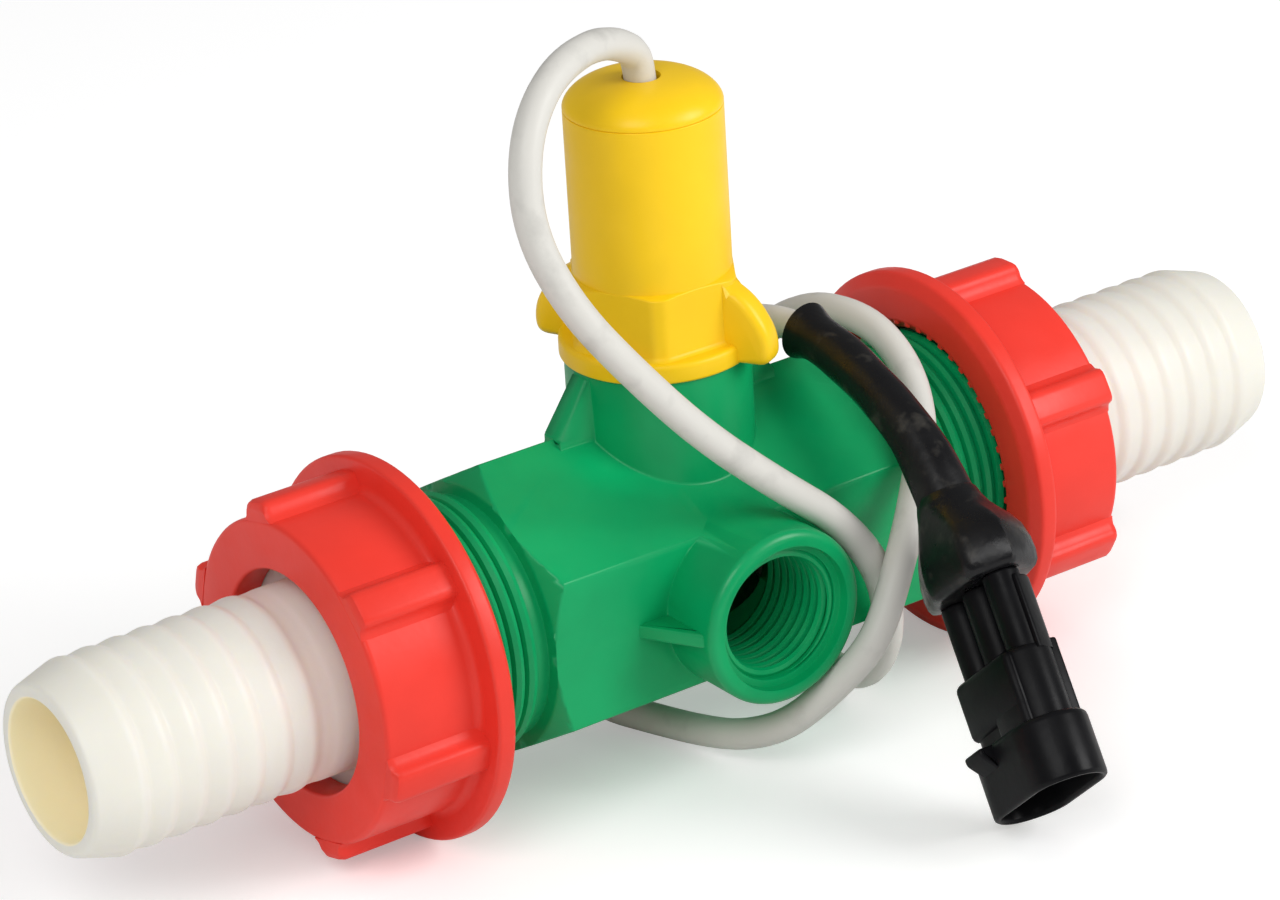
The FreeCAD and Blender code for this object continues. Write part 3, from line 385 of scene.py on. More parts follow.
# %% [markdown]
# ### The cable's line
# The sleeve has to follow the cable exactly, and the cable's length is worth measuring. The spline could be
# worked out again in Python, but Blender has just done it: a second curve without a bevel, turned into a
# mesh, gives its points.

# %% Cable line


def evaluated_mesh(made):
    """The mesh of an object as Blender shows it, with its modifiers and curve settings applied."""
    graph = bpy.context.evaluated_depsgraph_get()
    return bpy.data.meshes.new_from_object(made.evaluated_get(graph))


guide = route_curve("cable_guide", 0)
cable_line = [vertex.co / MM for vertex in evaluated_mesh(guide).vertices]
bpy.data.objects.remove(guide)

# %% [markdown]
# ## Meter body
# The green body is one big moulding: a hexagonal block with a threaded spigot at each end, a boss for the
# sensor and a side port. Its solid already has the right shape, so a copy with rounded edges stands for it.
# Modelling it again would only add mistakes. The solid's two webs beside the port are drawn in first,
# because a later step makes them anew.

# %% Copy of the body
PORT_X, PORT_RADIUS, FLAT_Y = -1.8, 14.2, -21.5
WEB_FOOT, WEB_SHRINK = 5.6, 0.3
SOLID_WEB_NEAR, SOLID_WEB_FAR, SOLID_WEB_HALF, SOLID_WEB_TIP = 14, 25, 2.1, -29.1


def solid_copy(node):
    """A copy of a solid in millimetres, with the triangles of its flat faces joined again."""
    shape = bmesh.new()
    shape.from_mesh(nodes[node].data)
    bmesh.ops.scale(shape, vec=(1 / MM, 1 / MM, 1 / MM), verts=shape.verts)
    bmesh.ops.remove_doubles(shape, verts=shape.verts, dist=1e-3)
    bmesh.ops.dissolve_limit(shape, angle_limit=math.radians(0.5), verts=shape.verts, edges=shape.edges)
    return shape


def hide_port_webs(shape):
    """Draw the corners of the two webs beside the port in towards the middle of each web."""
    moved = 0
    for vertex in shape.verts:
        side, height = vertex.co.x - PORT_X, vertex.co.z - AXIS_Z
        beside_port = SOLID_WEB_NEAR < abs(side) < SOLID_WEB_FAR and abs(height) < SOLID_WEB_HALF
        if beside_port and SOLID_WEB_TIP < vertex.co.y < FLAT_Y + 0.1:
            moved += 1
            vertex.co.z = AXIS_Z + WEB_SHRINK * height
            if abs(side) > PORT_RADIUS + 1:
                vertex.co.x = PORT_X + math.copysign(PORT_RADIUS + WEB_FOOT / 2, side)
    return moved


body_shape = solid_copy("meter_body")
print("web corners drawn in:", hide_port_webs(body_shape))

# %% [markdown]
# ### Rounded edges
# The light catches the rounded edges of a moulding, which is most of what makes plastic look moulded. A
# bevel modifier would shrink to suit the shortest edge. So only the edges with room round them are
# bevelled, at their full width, and the shading follows the large faces.

# %% Meter body
BODY_EDGE, EDGE_ROOM, SHARP_ANGLE = 0.35, 2.5, 35


def weigh_normals(made):
    """Let the large faces set the shading, so that flat sides look flat up to their rounded edges."""
    made.modifiers.new("weigh", "WEIGHTED_NORMAL").keep_sharp = True
    weighed = evaluated_mesh(made)
    made.modifiers.clear()
    made.data = weighed
    return made


def round_edges(shape, width):
    """Round over the sharp edges of a shape, wherever all edges round about are long enough."""
    roomy = {vertex for vertex in shape.verts
             if all(edge.calc_length() > EDGE_ROOM * width for edge in vertex.link_edges)}
    edges = [edge for edge in shape.edges if edge.is_manifold and roomy.issuperset(edge.verts)
             and edge.calc_face_angle() > math.radians(SHARP_ANGLE)]
    before = shape.calc_volume()
    bmesh.ops.bevel(shape, geom=edges, offset=width, segments=2, profile=0.6, affect="EDGES",
                    offset_type="OFFSET", clamp_overlap=False)
    print("rounded", len(edges), "edges:", round(shape.calc_volume() - before, 1), "cubic mm")
    bmesh.ops.triangulate(shape, faces=[face for face in shape.faces if len(face.verts) > 4])


def settle(piece, body, slot, *replaced):
    """Say which body a piece rides on and which solids it stands for. The slot is not used."""
    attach(piece, body)
    if replaced:
        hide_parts(*replaced)
    print(piece.name, "on", body, "with", len(getattr(piece.data, "polygons", ())), "faces")


round_edges(body_shape, BODY_EDGE)
body = weigh_normals(make_object("meter_body_moulding", body_shape, GREEN, sharp=SHARP_ANGLE))
settle(body, "meter", "body_green", "meter_body")

# %% [markdown]
# ### Outline of the port webs
# A thin web on each side stiffens the port. In the photograph the webs are thinner than the solid's, have
# soft edges and reach almost to the port's rim. A cube with a bevel has no slanted side, so each web
# starts as an outline whose corners carry a rounding each. A short arc takes the place of such a corner.

# %% Web outline
WEB_TIP, WEB_CORNER = -31.2, 0.4
WEB_SINK_IN_PORT, WEB_SINK_AT_TIP, WEB_SINK_IN_FLAT = 2, 0.2, 0.6


def round_corners(corners, steps=4, closed=True):
    """A path in which each corner (first, second, rounding) is replaced by a short arc."""
    count = len(corners)
    path = []
    for index, (first, second, rounding) in enumerate(corners):
        corner = Vector((first, second))
        if rounding == 0 or (not closed and index in (0, count - 1)):
            path.append(corner)
            continue
        before = Vector(corners[index - 1][:2]) - corner
        after = Vector(corners[(index + 1) % count][:2]) - corner
        # An arc takes less than half of each side, so that two arcs never meet
        reach = min(rounding, 0.49 * before.length, 0.49 * after.length)
        start, end = corner + before.normalized() * reach, corner + after.normalized() * reach
        for step in range(steps + 1):
            share = step / steps
            path.append(start * (1 - share) ** 2 + corner * 2 * share * (1 - share) + end * share ** 2)
    return path


foot, buried = PORT_RADIUS + WEB_FOOT, PORT_RADIUS - WEB_SINK_IN_PORT
wall, web_base = PORT_RADIUS - WEB_SINK_AT_TIP, FLAT_Y + WEB_SINK_IN_FLAT
web_outline = round_corners([(-foot, web_base, 0), (-wall, WEB_TIP, WEB_CORNER),
                             (-buried, WEB_TIP, WEB_CORNER), (-buried, web_base, 0)])
print("web outline:", len(web_outline), "points")

# %% [markdown]
# ### Port webs
# Extruding the outline would leave a hard rim. So copies of it are stacked, drawn in a little more towards
# both faces, and walls join each to the next. The outlet's web is the mirror image of the inlet's.

# %% Port webs
WEB_THICKNESS, WEB_RIM, RIM_STEPS = 2.4, 0.6, 4


def join_rings(shape, rings, close=False):
    """Walls from each ring of vertices to the next, closed into a hoop or capped at both ends."""
    steps = len(rings[0])
    for ring, following in zip(rings, rings[1:] + (rings[:1] if close else [])):
        for step in range(steps):
            other = (step + 1) % steps
            shape.faces.new((ring[step], ring[other], following[other], following[step]))
    if not close:
        shape.faces.new(rings[0][::-1])
        shape.faces.new(rings[-1])
    bmesh.ops.recalc_face_normals(shape, faces=shape.faces)


def stack_outlines(outline_at, stations):
    """A closed stack of outlines in X and Y: each station gives a height and what outline_at needs."""
    shape = bmesh.new()
    join_rings(shape, [[shape.verts.new((*point, height)) for point in outline_at(needed)]
                       for height, needed in stations])
    return shape


def inset_outline(outline, inset):
    """Each point of a closed outline moved inwards, square to the line between its neighbours."""
    moved = []
    for index, point in enumerate(outline):
        ahead = (outline[(index + 1) % len(outline)] - outline[index - 1]).normalized()
        moved.append(point + Vector((-ahead.y, ahead.x)) * inset)
    return moved


def rounded_plate(outline, thickness, rim_radius):
    """A plate with an outline in X and Y, whose rim is rounded towards both of its faces."""
    turns = [math.pi / 2 * step / RIM_STEPS for step in range(RIM_STEPS + 1)]
    rim = [(thickness / 2 - rim_radius * (1 - math.cos(turn)), rim_radius * (1 - math.sin(turn)))
           for turn in turns]
    rim += [(-height, inset) for height, inset in rim[::-1]]
    return stack_outlines(lambda inset: inset_outline(outline, inset), rim)


for end, mirrored in (("inlet", False), ("outlet", True)):
    web_shape = rounded_plate(web_outline, WEB_THICKNESS, WEB_RIM)
    if mirrored:
        bmesh.ops.scale(web_shape, vec=(-1, 1, 1), verts=web_shape.verts)
        bmesh.ops.reverse_faces(web_shape, faces=web_shape.faces)
    web = make_object(f"port_web_{end}_side", web_shape, GREEN, Matrix.Translation((PORT_X, 0, AXIS_Z)))
    settle(web, "meter", "body_green")

# %% [markdown]
# ## Ring nuts
# Each red nut is a turned ring with a wide flange on the body's side, a countersunk bore and an inner
# shoulder that holds the hose tail. It could be cut from a cylinder with booleans, but those leave sharp
# edges. The ring is spun from its section instead, and each corner of the section has its own rounding.

# %% Nut ring
TURN_STEPS = 96
NUT_FACE, NUT_END = 49.2, 70.0
NUT_BORE, NUT_HOLE, NUT_BARREL, NUT_FLANGE = 21.25, 17.8, 25.8, 30.7
COUNTERSINK, FLANGE_LENGTH, SHOULDER_LENGTH = 1.8, 4.2, 5.2
FLANGE_CHAMFER_LONG, FLANGE_CHAMFER_DEEP = 1.3, 2.3


def spin_profile(path, steps=TURN_STEPS, closed=True):
    """Spin a profile of (along, radius) round the X axis into a mesh, in millimetres."""
    shape = bmesh.new()
    rings = []
    for step in range(steps):
        angle = 2 * math.pi * step / steps
        rings.append([shape.verts.new((along, radius * math.cos(angle), radius * math.sin(angle)))
                      for along, radius in path])
    count = len(path)
    for ring, following in zip(rings, rings[1:] + rings[:1]):
        for index in range(count if closed else count - 1):
            other = (index + 1) % count
            shape.faces.new((ring[index], following[index], following[other], ring[other]))
    bmesh.ops.remove_doubles(shape, verts=shape.verts, dist=1e-5)
    bmesh.ops.recalc_face_normals(shape, faces=shape.faces)
    return shape


nut_shape = spin_profile(round_corners([
    (NUT_FACE + COUNTERSINK, NUT_BORE, 0.4), (NUT_FACE, NUT_BORE + COUNTERSINK, 0.4),
    (NUT_FACE, NUT_FLANGE - FLANGE_CHAMFER_DEEP, 0.6), (NUT_FACE + FLANGE_CHAMFER_LONG, NUT_FLANGE, 0.6),
    (NUT_FACE + FLANGE_LENGTH, NUT_FLANGE, 0.7), (NUT_FACE + FLANGE_LENGTH, NUT_BARREL, 1.5),
    (NUT_END, NUT_BARREL, 0.9), (NUT_END, NUT_HOLE, 0.6),
    (NUT_END - SHOULDER_LENGTH, NUT_HOLE, 0.3), (NUT_END - SHOULDER_LENGTH, NUT_BORE, 0.3),
]))
print("nut ring:", len(nut_shape.faces), "faces")

# %% [markdown]
# ### A tree that repeats
# The grip ribs and the fine teeth inside the flange go round the nut in even steps. A Python loop could place
# them too, but Geometry Nodes shows the rule: so many points, one copy on each, turned by its share of a
# whole turn. The copies are made real at the end, because the export needs real geometry.

# %% Repeat tree


def new_tree(name, inputs):
    """An empty geometry tree with named inputs, given as name: (socket type, value)."""
    tree = bpy.data.node_groups.new(name, "GeometryNodeTree")
    tree.interface.new_socket("Geometry", in_out="INPUT", socket_type="NodeSocketGeometry")
    for label, (kind, value) in inputs.items():
        socket = tree.interface.new_socket(label, in_out="INPUT", socket_type=kind)
        if value is not None:
            socket.default_value = value
    tree.interface.new_socket("Geometry", in_out="OUTPUT", socket_type="NodeSocketGeometry")
    return tree, tree.nodes.new("NodeGroupInput"), tree.nodes.new("NodeGroupOutput")


def finish_tree(tree, source, entry, exit_node):
    """End a tree as the export needs it: real geometry with its material."""
    realize = tree.nodes.new("GeometryNodeRealizeInstances")
    dress = tree.nodes.new("GeometryNodeSetMaterial")
    tree.links.new(source, realize.inputs["Geometry"])
    tree.links.new(realize.outputs["Geometry"], dress.inputs["Geometry"])
    tree.links.new(entry.outputs["Material"], dress.inputs["Material"])
    tree.links.new(dress.outputs["Geometry"], exit_node.inputs["Geometry"])
    print(tree.name, "tree has", len(tree.nodes), "nodes")


def maths(tree, operation, first, second):
    """A maths node between two values, each a socket or a number."""
    node = tree.nodes.new("ShaderNodeMath")
    node.operation = operation
    for socket, value in zip(node.inputs, (first, second)):
        if isinstance(value, (int, float)):
            socket.default_value = value
        else:
            tree.links.new(value, socket)
    return node.outputs[0]


def make_repeat_tree():
    tree, entry, exit_node = new_tree("repeat_round_pipe", {
        "Count": ("NodeSocketInt", 6), "Material": ("NodeSocketMaterial", None)})
    points = tree.nodes.new("GeometryNodePoints")
    index = tree.nodes.new("GeometryNodeInputIndex")
    rotation = tree.nodes.new("ShaderNodeCombineXYZ")
    copies = tree.nodes.new("GeometryNodeInstanceOnPoints")
    share = maths(tree, "DIVIDE", index.outputs["Index"], entry.outputs["Count"])
    tree.links.new(maths(tree, "MULTIPLY", share, 2 * math.pi), rotation.inputs["X"])
    tree.links.new(entry.outputs["Count"], points.inputs["Count"])
    tree.links.new(points.outputs["Points"], copies.inputs["Points"])
    tree.links.new(entry.outputs["Geometry"], copies.inputs["Instance"])
    tree.links.new(rotation.outputs["Vector"], copies.inputs["Rotation"])
    finish_tree(tree, copies.outputs["Instances"], entry, exit_node)
    return tree


REPEAT = make_repeat_tree()

# %% [markdown]
# ### Grip ribs
# Six ribs give the fingers a grip. A rib has a rounded top and end, and its feet spread into the barrel. A
# plain block would meet the barrel at a hard line, so half of the rib's section is drawn and mirrored, and it
# droops towards the nut's end.

# %% Grip ribs
RIB_COUNT, RIB_FOOT = 6, 25.3
RIB_HALF = [(4.3, RIB_FOOT), (3.6, 25.9), (3.15, 26.5), (2.95, 27.2), (2.75, 27.9), (2.2, 28.35),
            (1.4, 28.5)]
RIB_STATIONS = [(NUT_FACE + 2, 0), (NUT_END - 1.2, 0), (NUT_END - 0.4, 0.1), (NUT_END, 0.35)]


def grown(tree, mesh, **values):
    """Run a tree on a mesh with the given inputs and return the result as a bmesh."""
    holder = add_to_scene("growing", mesh)
    modifier = holder.modifiers.new("grow", "NODES")
    modifier.node_group = tree
    identifiers = {item.name: item.identifier for item in tree.interface.items_tree
                   if item.in_out == "INPUT"}
    for label, value in values.items():
        modifier[identifiers[label]] = value
    result = evaluated_mesh(holder)
    shape = bmesh.new()
    shape.from_mesh(result)
    bpy.data.objects.remove(holder)
    bpy.data.meshes.remove(result)
    return shape


def repeated(shape, count, material):
    mesh = bpy.data.meshes.new("one_of_many")
    shape.to_mesh(mesh)
    shape.free()
    return grown(REPEAT, mesh, Count=count, Material=material)


def add_shape(target, extra):
    """Put the faces of one bmesh into another."""
    mesh = bpy.data.meshes.new("joined")
    extra.to_mesh(mesh)
    extra.free()
    target.from_mesh(mesh)
    bpy.data.meshes.remove(mesh)


def grip_rib():
    section = [(-side, height) for side, height in RIB_HALF] + RIB_HALF[::-1]
    shape = bmesh.new()
    rings = []
    for along, droop in RIB_STATIONS:
        low, slim = 1 - droop, 1 - droop / 4
        rings.append([shape.verts.new((along, RIB_FOOT + (height - RIB_FOOT) * low, side * slim))
                      for side, height in section])
    join_rings(shape, rings)
    return shape


add_shape(nut_shape, repeated(grip_rib(), RIB_COUNT, RED))
print("nut with ribs:", len(nut_shape.faces), "faces")

# %% [markdown]
# ### Teeth and finished nuts
# Fine teeth stand round the inside of the flange. Each is too small for a section of its own, so it is a
# block with soft edges. The finished nut is copied for both ends and turned as in the photograph.

# %% Teeth and nuts
TOOTH_COUNT, TOOTH_EDGE = 50, 0.25
TOOTH_LOW, TOOTH_HIGH = (NUT_FACE + 0.1, 22.2, -0.55), (NUT_FACE + 1.6, 23.8, 0.55)
NUT_TURNS = {"inlet": 44, "outlet": 29}


def soft_block(low, high, rounding):
    """A block between two corners with all its edges rounded."""
    shape = bmesh.new()
    bmesh.ops.create_cube(shape, size=1)
    size = Vector(high) - Vector(low)
    bmesh.ops.scale(shape, vec=size, verts=shape.verts)
    bmesh.ops.translate(shape, vec=Vector(low) + size / 2, verts=shape.verts)
    bmesh.ops.bevel(shape, geom=shape.edges, offset=rounding, segments=3, profile=0.5, affect="EDGES")
    return shape


def on_pipe(end, turn_degrees=0):
    """Place a piece drawn along +X for the outlet end on the pipe, turned and faced to either end."""
    facing = Matrix.Rotation(math.pi if end == "inlet" else 0, 4, "Z")
    rolled = Matrix.Rotation(math.radians(turn_degrees), 4, "X")
    return Matrix.Translation((0, 0, AXIS_Z)) @ facing @ rolled


tooth = soft_block(TOOTH_LOW, TOOTH_HIGH, TOOTH_EDGE)
add_shape(nut_shape, repeated(tooth, TOOTH_COUNT, RED))
for end, nut_turn in NUT_TURNS.items():
    nut = make_object(f"{end}_nut_moulding", nut_shape.copy(), RED, on_pipe(end, nut_turn))
    settle(nut, f"{end}_nut", "nut_red", f"{end}_ring_nut")
nut_shape.free()

# %% [markdown]
# ## Threads
# A thread is one ridge that winds round a cylinder. A screw modifier could make it, but its ends would be cut
# off flat. Geometry Nodes has a spiral curve for exactly that: a small profile is swept along it, and its
# size fades out at both ends. The same tree makes the two spigot threads and the thread inside the port.

# %% Thread tree
THREAD_FADE = 20


def make_thread_tree():
    tree, entry, exit_node = new_tree("thread_ridge", {
        "Radius": ("NodeSocketFloat", 20.0), "Pitch": ("NodeSocketFloat", 2.3),
        "Turns": ("NodeSocketFloat", 4.0), "Ridge": ("NodeSocketFloat", 0.8),
        "Material": ("NodeSocketMaterial", None)})
    link = tree.links.new
    spiral = tree.nodes.new("GeometryNodeCurveSpiral")
    spiral.inputs["Resolution"].default_value = 64
    link(entry.outputs["Turns"], spiral.inputs["Rotations"])
    link(entry.outputs["Radius"], spiral.inputs["Start Radius"])
    link(entry.outputs["Radius"], spiral.inputs["End Radius"])
    link(maths(tree, "MULTIPLY", entry.outputs["Pitch"], entry.outputs["Turns"]), spiral.inputs["Height"])
    upright = tree.nodes.new("GeometryNodeSetCurveNormal")
    upright.mode = "Z_UP"
    link(spiral.outputs["Curve"], upright.inputs["Curve"])
    # The ridge rises over the first and last twentieth of its run
    parameter = tree.nodes.new("GeometryNodeSplineParameter")
    from_end = maths(tree, "SUBTRACT", 1, parameter.outputs["Factor"])
    nearest = maths(tree, "MINIMUM", parameter.outputs["Factor"], from_end)
    rise = maths(tree, "MINIMUM", maths(tree, "MULTIPLY", nearest, THREAD_FADE), 1)
    profile = tree.nodes.new("GeometryNodeCurvePrimitiveCircle")
    profile.inputs["Resolution"].default_value = 8
    link(entry.outputs["Ridge"], profile.inputs["Radius"])
    sweep = tree.nodes.new("GeometryNodeCurveToMesh")
    sweep.inputs["Fill Caps"].default_value = True
    link(upright.outputs["Curve"], sweep.inputs["Curve"])
    link(profile.outputs["Curve"], sweep.inputs["Profile Curve"])
    link(rise, sweep.inputs["Scale"])
    finish_tree(tree, sweep.outputs["Mesh"], entry, exit_node)
    return tree


THREAD = make_thread_tree()

# %% [markdown]
# ### Spigot and port threads
# The spigots carry a coarse pipe thread under the nuts, and the port has a finer one inside. The solids are
# plain there. Cutting real grooves would need booleans, so a ridge of round section is partly sunk into the
# wall instead, and only its crest shows.

# %% Spigot and port threads
SPIGOT_THREAD = {"Radius": 19.75, "Pitch": 2.309, "Turns": 8.2, "Ridge": 1.05}
PORT_THREAD = {"Radius": 10.0, "Pitch": 1.814, "Turns": 9.0, "Ridge": 0.85}
SPIGOT_THREAD_START, PORT_THREAD_START = 38.4, -31


def thread_ridge(sizes):
    """A right-hand thread ridge that starts at x = 0 and runs along +X."""
    shape = grown(THREAD, bpy.data.meshes.new("thread"), Material=GREEN, **sizes)
    bmesh.ops.transform(shape, matrix=Matrix.Rotation(math.pi / 2, 4, "Y"), verts=shape.verts)
    return shape


along_spigot = Matrix.Translation((SPIGOT_THREAD_START, 0, 0))
for end in ("inlet", "outlet"):
    thread = make_object(f"{end}_spigot_thread", thread_ridge(SPIGOT_THREAD), GREEN,
                         on_pipe(end) @ along_spigot)
    settle(thread, "meter", "body_green")
into_port = Matrix.Translation((PORT_X, PORT_THREAD_START, AXIS_Z)) @ Matrix.Rotation(math.pi / 2, 4, "Z")
port_thread = make_object("side_port_thread", thread_ridge(PORT_THREAD), GREEN, into_port)
settle(port_thread, "meter", "body_green")

# %% [markdown]
# ## Hose tails
# A hose tail is a tube with a flange and a row of barbs. Each barb is a soft sawtooth: steep on the body's
# side, so that the hose can't slip back, and shallow towards the open end. Separate rings would leave seams,
# so the whole profile is written as a rule and spun.

# %% Hose tails
TAIL_FOOT, TAIL_END, TAIL_BORE, TAIL_TIP = 60.5, 112.5, 11.2, 13.4
TAIL_FLANGE, TAIL_FLANGE_LENGTH, TAIL_NECK, NECK_END = 20.6, 4.2, 15.2, 71.3
BARB_ROOT, BARB_CREST, BARB_PITCH, BARB_COUNT = 15.05, 15.6, 4.9, 6
BARB_RISE, BARB_FALL = 1.1, 3.2
LEAD_START = 105.0


def tail_profile():
    flange_top = TAIL_FOOT + TAIL_FLANGE_LENGTH
    corners = [(TAIL_FOOT, TAIL_BORE, 0.2), (TAIL_FOOT, TAIL_FLANGE, 0.4), (flange_top, TAIL_FLANGE, 0.4),
               (flange_top, TAIL_NECK, 0.5), (NECK_END, TAIL_NECK, 0.6), (NECK_END + 1.1, BARB_ROOT, 0.8)]
    for index in range(BARB_COUNT, 0, -1):
        crest = LEAD_START - index * BARB_PITCH
        corners += [(crest - BARB_RISE, BARB_ROOT, 0.6), (crest + 0.35, BARB_CREST, 0.8),
                    (crest + BARB_FALL, BARB_ROOT + 0.05, 0.9)]
    corners += [(LEAD_START - BARB_RISE, BARB_ROOT, 0.6), (LEAD_START + 0.4, BARB_CREST, 0.9),
                (TAIL_END, TAIL_TIP, 0.9), (TAIL_END, TAIL_BORE, 0.5)]
    return round_corners(corners)


for end in ("inlet", "outlet"):
    tail = make_object(f"{end}_tail_moulding", spin_profile(tail_profile()), IVORY, on_pipe(end))
    settle(tail, f"{end}_union", "tail_ivory", f"{end}_hose_tail")

# %% [markdown]
# ## Sensor
# The yellow housing is a hollow barrel on a seating ring, with a hexagon and two finger wings round its foot.
# It could be a copy of the solid with bevelled edges, but its curved edges meet at odd angles, and a bevel
# breaks up there. So each form is made round from the start, and the barrel comes first: its section is spun,
# from the stem with the groove for its O-ring up to the seam under the lid.

# %% Sensor barrel
SENSOR_TURN = math.radians(-62.5)
BARREL_RADIUS, SEAT_RADIUS, STEM_RADIUS, GROOVE_RADIUS = 12.3, 15.2, 9.9, 8.1
STEM_END, SEAT_BOTTOM, SEAT_TOP, HEX_TOP, SEAM = 48.7, 64.9, 68.1, 78.8, 104.8
GROOVE_BOTTOM, GROOVE_TOP = 59.85, 61.95
CAVITY_FLOOR, STEM_CAVITY, BARREL_CAVITY = 50.5, 6.1, 10.5
SEAM_EDGE = 0.18


def stand_up(shape):
    """Turn a shape that was spun round X so that it stands along Z."""
    bmesh.ops.transform(shape, matrix=Matrix.Rotation(-math.pi / 2, 4, "Y"), verts=shape.verts)
    return shape


barrel_section = [
    (STEM_END, 0, 0), (STEM_END, STEM_RADIUS, 0.5), (GROOVE_BOTTOM, STEM_RADIUS, 0),
    (GROOVE_BOTTOM, GROOVE_RADIUS, 0), (GROOVE_TOP, GROOVE_RADIUS, 0), (GROOVE_TOP, STEM_RADIUS, 0),
    (SEAT_BOTTOM, STEM_RADIUS, 0), (SEAT_BOTTOM, SEAT_RADIUS, 0.5), (SEAT_TOP, SEAT_RADIUS, 0.9),
    (SEAT_TOP, BARREL_RADIUS, 0), (SEAM, BARREL_RADIUS, SEAM_EDGE), (SEAM, BARREL_CAVITY, 0),
    (HEX_TOP, BARREL_CAVITY, 0), (SEAT_TOP, STEM_CAVITY, 0), (CAVITY_FLOOR, STEM_CAVITY, 0),
    (CAVITY_FLOOR, 0, 0),
]
housing_shape = stand_up(spin_profile(round_corners(barrel_section, closed=False), closed=False))
print("sensor barrel:", len(housing_shape.faces), "faces")

# %% [markdown]
# ### Hexagon
# The hexagon at the barrel's foot has rounded corners. A cone takes off their upper ends, as on a steel nut,
# and a small fillet meets the seating ring. A six-sided cylinder has none of that, so the form is a stack
# of rings, and one function gives the distance from the axis for every angle and height.

# %% Sensor hexagon
HEX_FLATS, HEX_CORNER, HEX_CORNER_BLEND = 24.8, 13.7, 0.25
CHAMFER_START, CHAMFER_SLOPE, CHAMFER_BLEND = 11.4, 0.32, 0.45
FILLET_WIDTH, FILLET_HEIGHT = 0.6, 0.8
FOOT_SPACING, TOP_SPACING = 0.2, 0.1


def soft_least(first, second, blend):
    """The smaller of two numbers, with a rounded change from one to the other."""
    share = min(1, max(0, 0.5 + (second - first) / (2 * blend)))
    return second * (1 - share) + first * share - blend * share * (1 - share)


def hexagon_radius(angle, height):
    """The hexagon's distance from the axis: six flats, round corners, a cone on top, a fillet below."""
    flat = HEX_FLATS / 2 / math.cos(angle % (math.pi / 3) - math.pi / 6)
    side = soft_least(flat, HEX_CORNER, HEX_CORNER_BLEND)
    cone = CHAMFER_START + (HEX_TOP - height) / CHAMFER_SLOPE
    fillet = FILLET_WIDTH * max(0, 1 - (height - SEAT_TOP) / FILLET_HEIGHT) ** 2
    return soft_least(side, cone, CHAMFER_BLEND) + fillet


def hexagon_outline(height, steps=TURN_STEPS * 2):
    angles = [2 * math.pi * step / steps for step in range(steps)]
    return [Vector((math.cos(angle), math.sin(angle))) * hexagon_radius(angle, height) for angle in angles]


hexagon_heights = [SEAT_TOP + FOOT_SPACING * step for step in range(-1, 5)]
hexagon_heights += [HEX_TOP - TOP_SPACING * step for step in range(22, -1, -1)]
add_shape(housing_shape, stack_outlines(hexagon_outline, zip(hexagon_heights, hexagon_heights)))
print("hexagon:", len(hexagon_heights), "rings, up to", hexagon_heights[-1], "mm")

# %% [markdown]
# ### Finger wings
# Two wings stand out beside the hexagon, for fingers to hold. A bevelled cube has no sloping brow, and each
# wing is a thick plate with a softly rounded rim. So it is made like the webs beside the port, then stood
# upright and turned to its side.

# %% Finger wings
WING_REACH, WING_SHOULDER, WING_THICKNESS, WING_RIM = 20.3, 69.9, 4.8, 1.5
WING_BROW, WING_FOOT_ROUND, WING_ROUND = (17.0, 75.3), 2.6, 3.3

wing_outline = round_corners([(CHAMFER_START, SEAT_BOTTOM, 0), (WING_REACH, SEAT_BOTTOM, WING_FOOT_ROUND),
                              (WING_REACH, WING_SHOULDER, WING_ROUND), (*WING_BROW, WING_ROUND),
                              (CHAMFER_START, HEX_TOP - 0.2, 0)], steps=10)
upright = Matrix.Rotation(math.pi / 2, 4, "X")
for facing in (0, math.pi):
    wing = rounded_plate(wing_outline, WING_THICKNESS, WING_RIM)
    bmesh.ops.transform(wing, matrix=Matrix.Rotation(facing, 4, "Z") @ upright, verts=wing.verts)
    add_shape(housing_shape, wing)
housing = make_object("sensor_moulding", housing_shape, YELLOW, Matrix.Rotation(SENSOR_TURN, 4, "Z"))
settle(housing, "meter", "sensor_yellow", "sensor_housing")

# %% [markdown]
# ### Lid
# The lid closes the barrel. Its skirt goes inside, and a fine seam shows where the two mouldings meet. The
# top is a flattened dome. Part of a sphere would be too pointed, so a power curve gives it a level middle and
# a quick turn down at the rim.

# %% Sensor lid
LID_TOP, LID_RIM, SKIRT_END, SKIRT_RADIUS, CABLE_HOLE = 109.4, 105.2, 100.8, 10.4, 3.0
DOME_OUTWARD_POWER, DOME_UPWARD_POWER, DOME_STEPS = 2.6, 0.625, 24
lid_section = [Vector((SKIRT_END, CABLE_HOLE)), Vector((SKIRT_END, SKIRT_RADIUS)),
               Vector((SEAM, SKIRT_RADIUS)), Vector((SEAM, BARREL_RADIUS - SEAM_EDGE)),
               Vector((SEAM + SEAM_EDGE, BARREL_RADIUS))]
for step in range(DOME_STEPS + 1):
    out = math.cos(math.pi / 2 * step / DOME_STEPS)
    rise = (1 - out ** DOME_OUTWARD_POWER) ** DOME_UPWARD_POWER
    lid_section.append(Vector((LID_RIM + (LID_TOP - LID_RIM) * rise,
                               CABLE_HOLE + (BARREL_RADIUS - CABLE_HOLE) * out)))
lid = make_object("sensor_lid_moulding", stand_up(spin_profile(lid_section)), YELLOW)
settle(lid, "meter", "sensor_yellow", "sensor_lid")

# %% [markdown]
# ## Sleeve
# A black sleeve is shrunk over the cable's last stretch and into the boot. It could have a route of its own,
# but it must never drift off the cable, so it takes the last points of the cable's line.

# %% Sleeve line
SLEEVE_LENGTH = 41.4


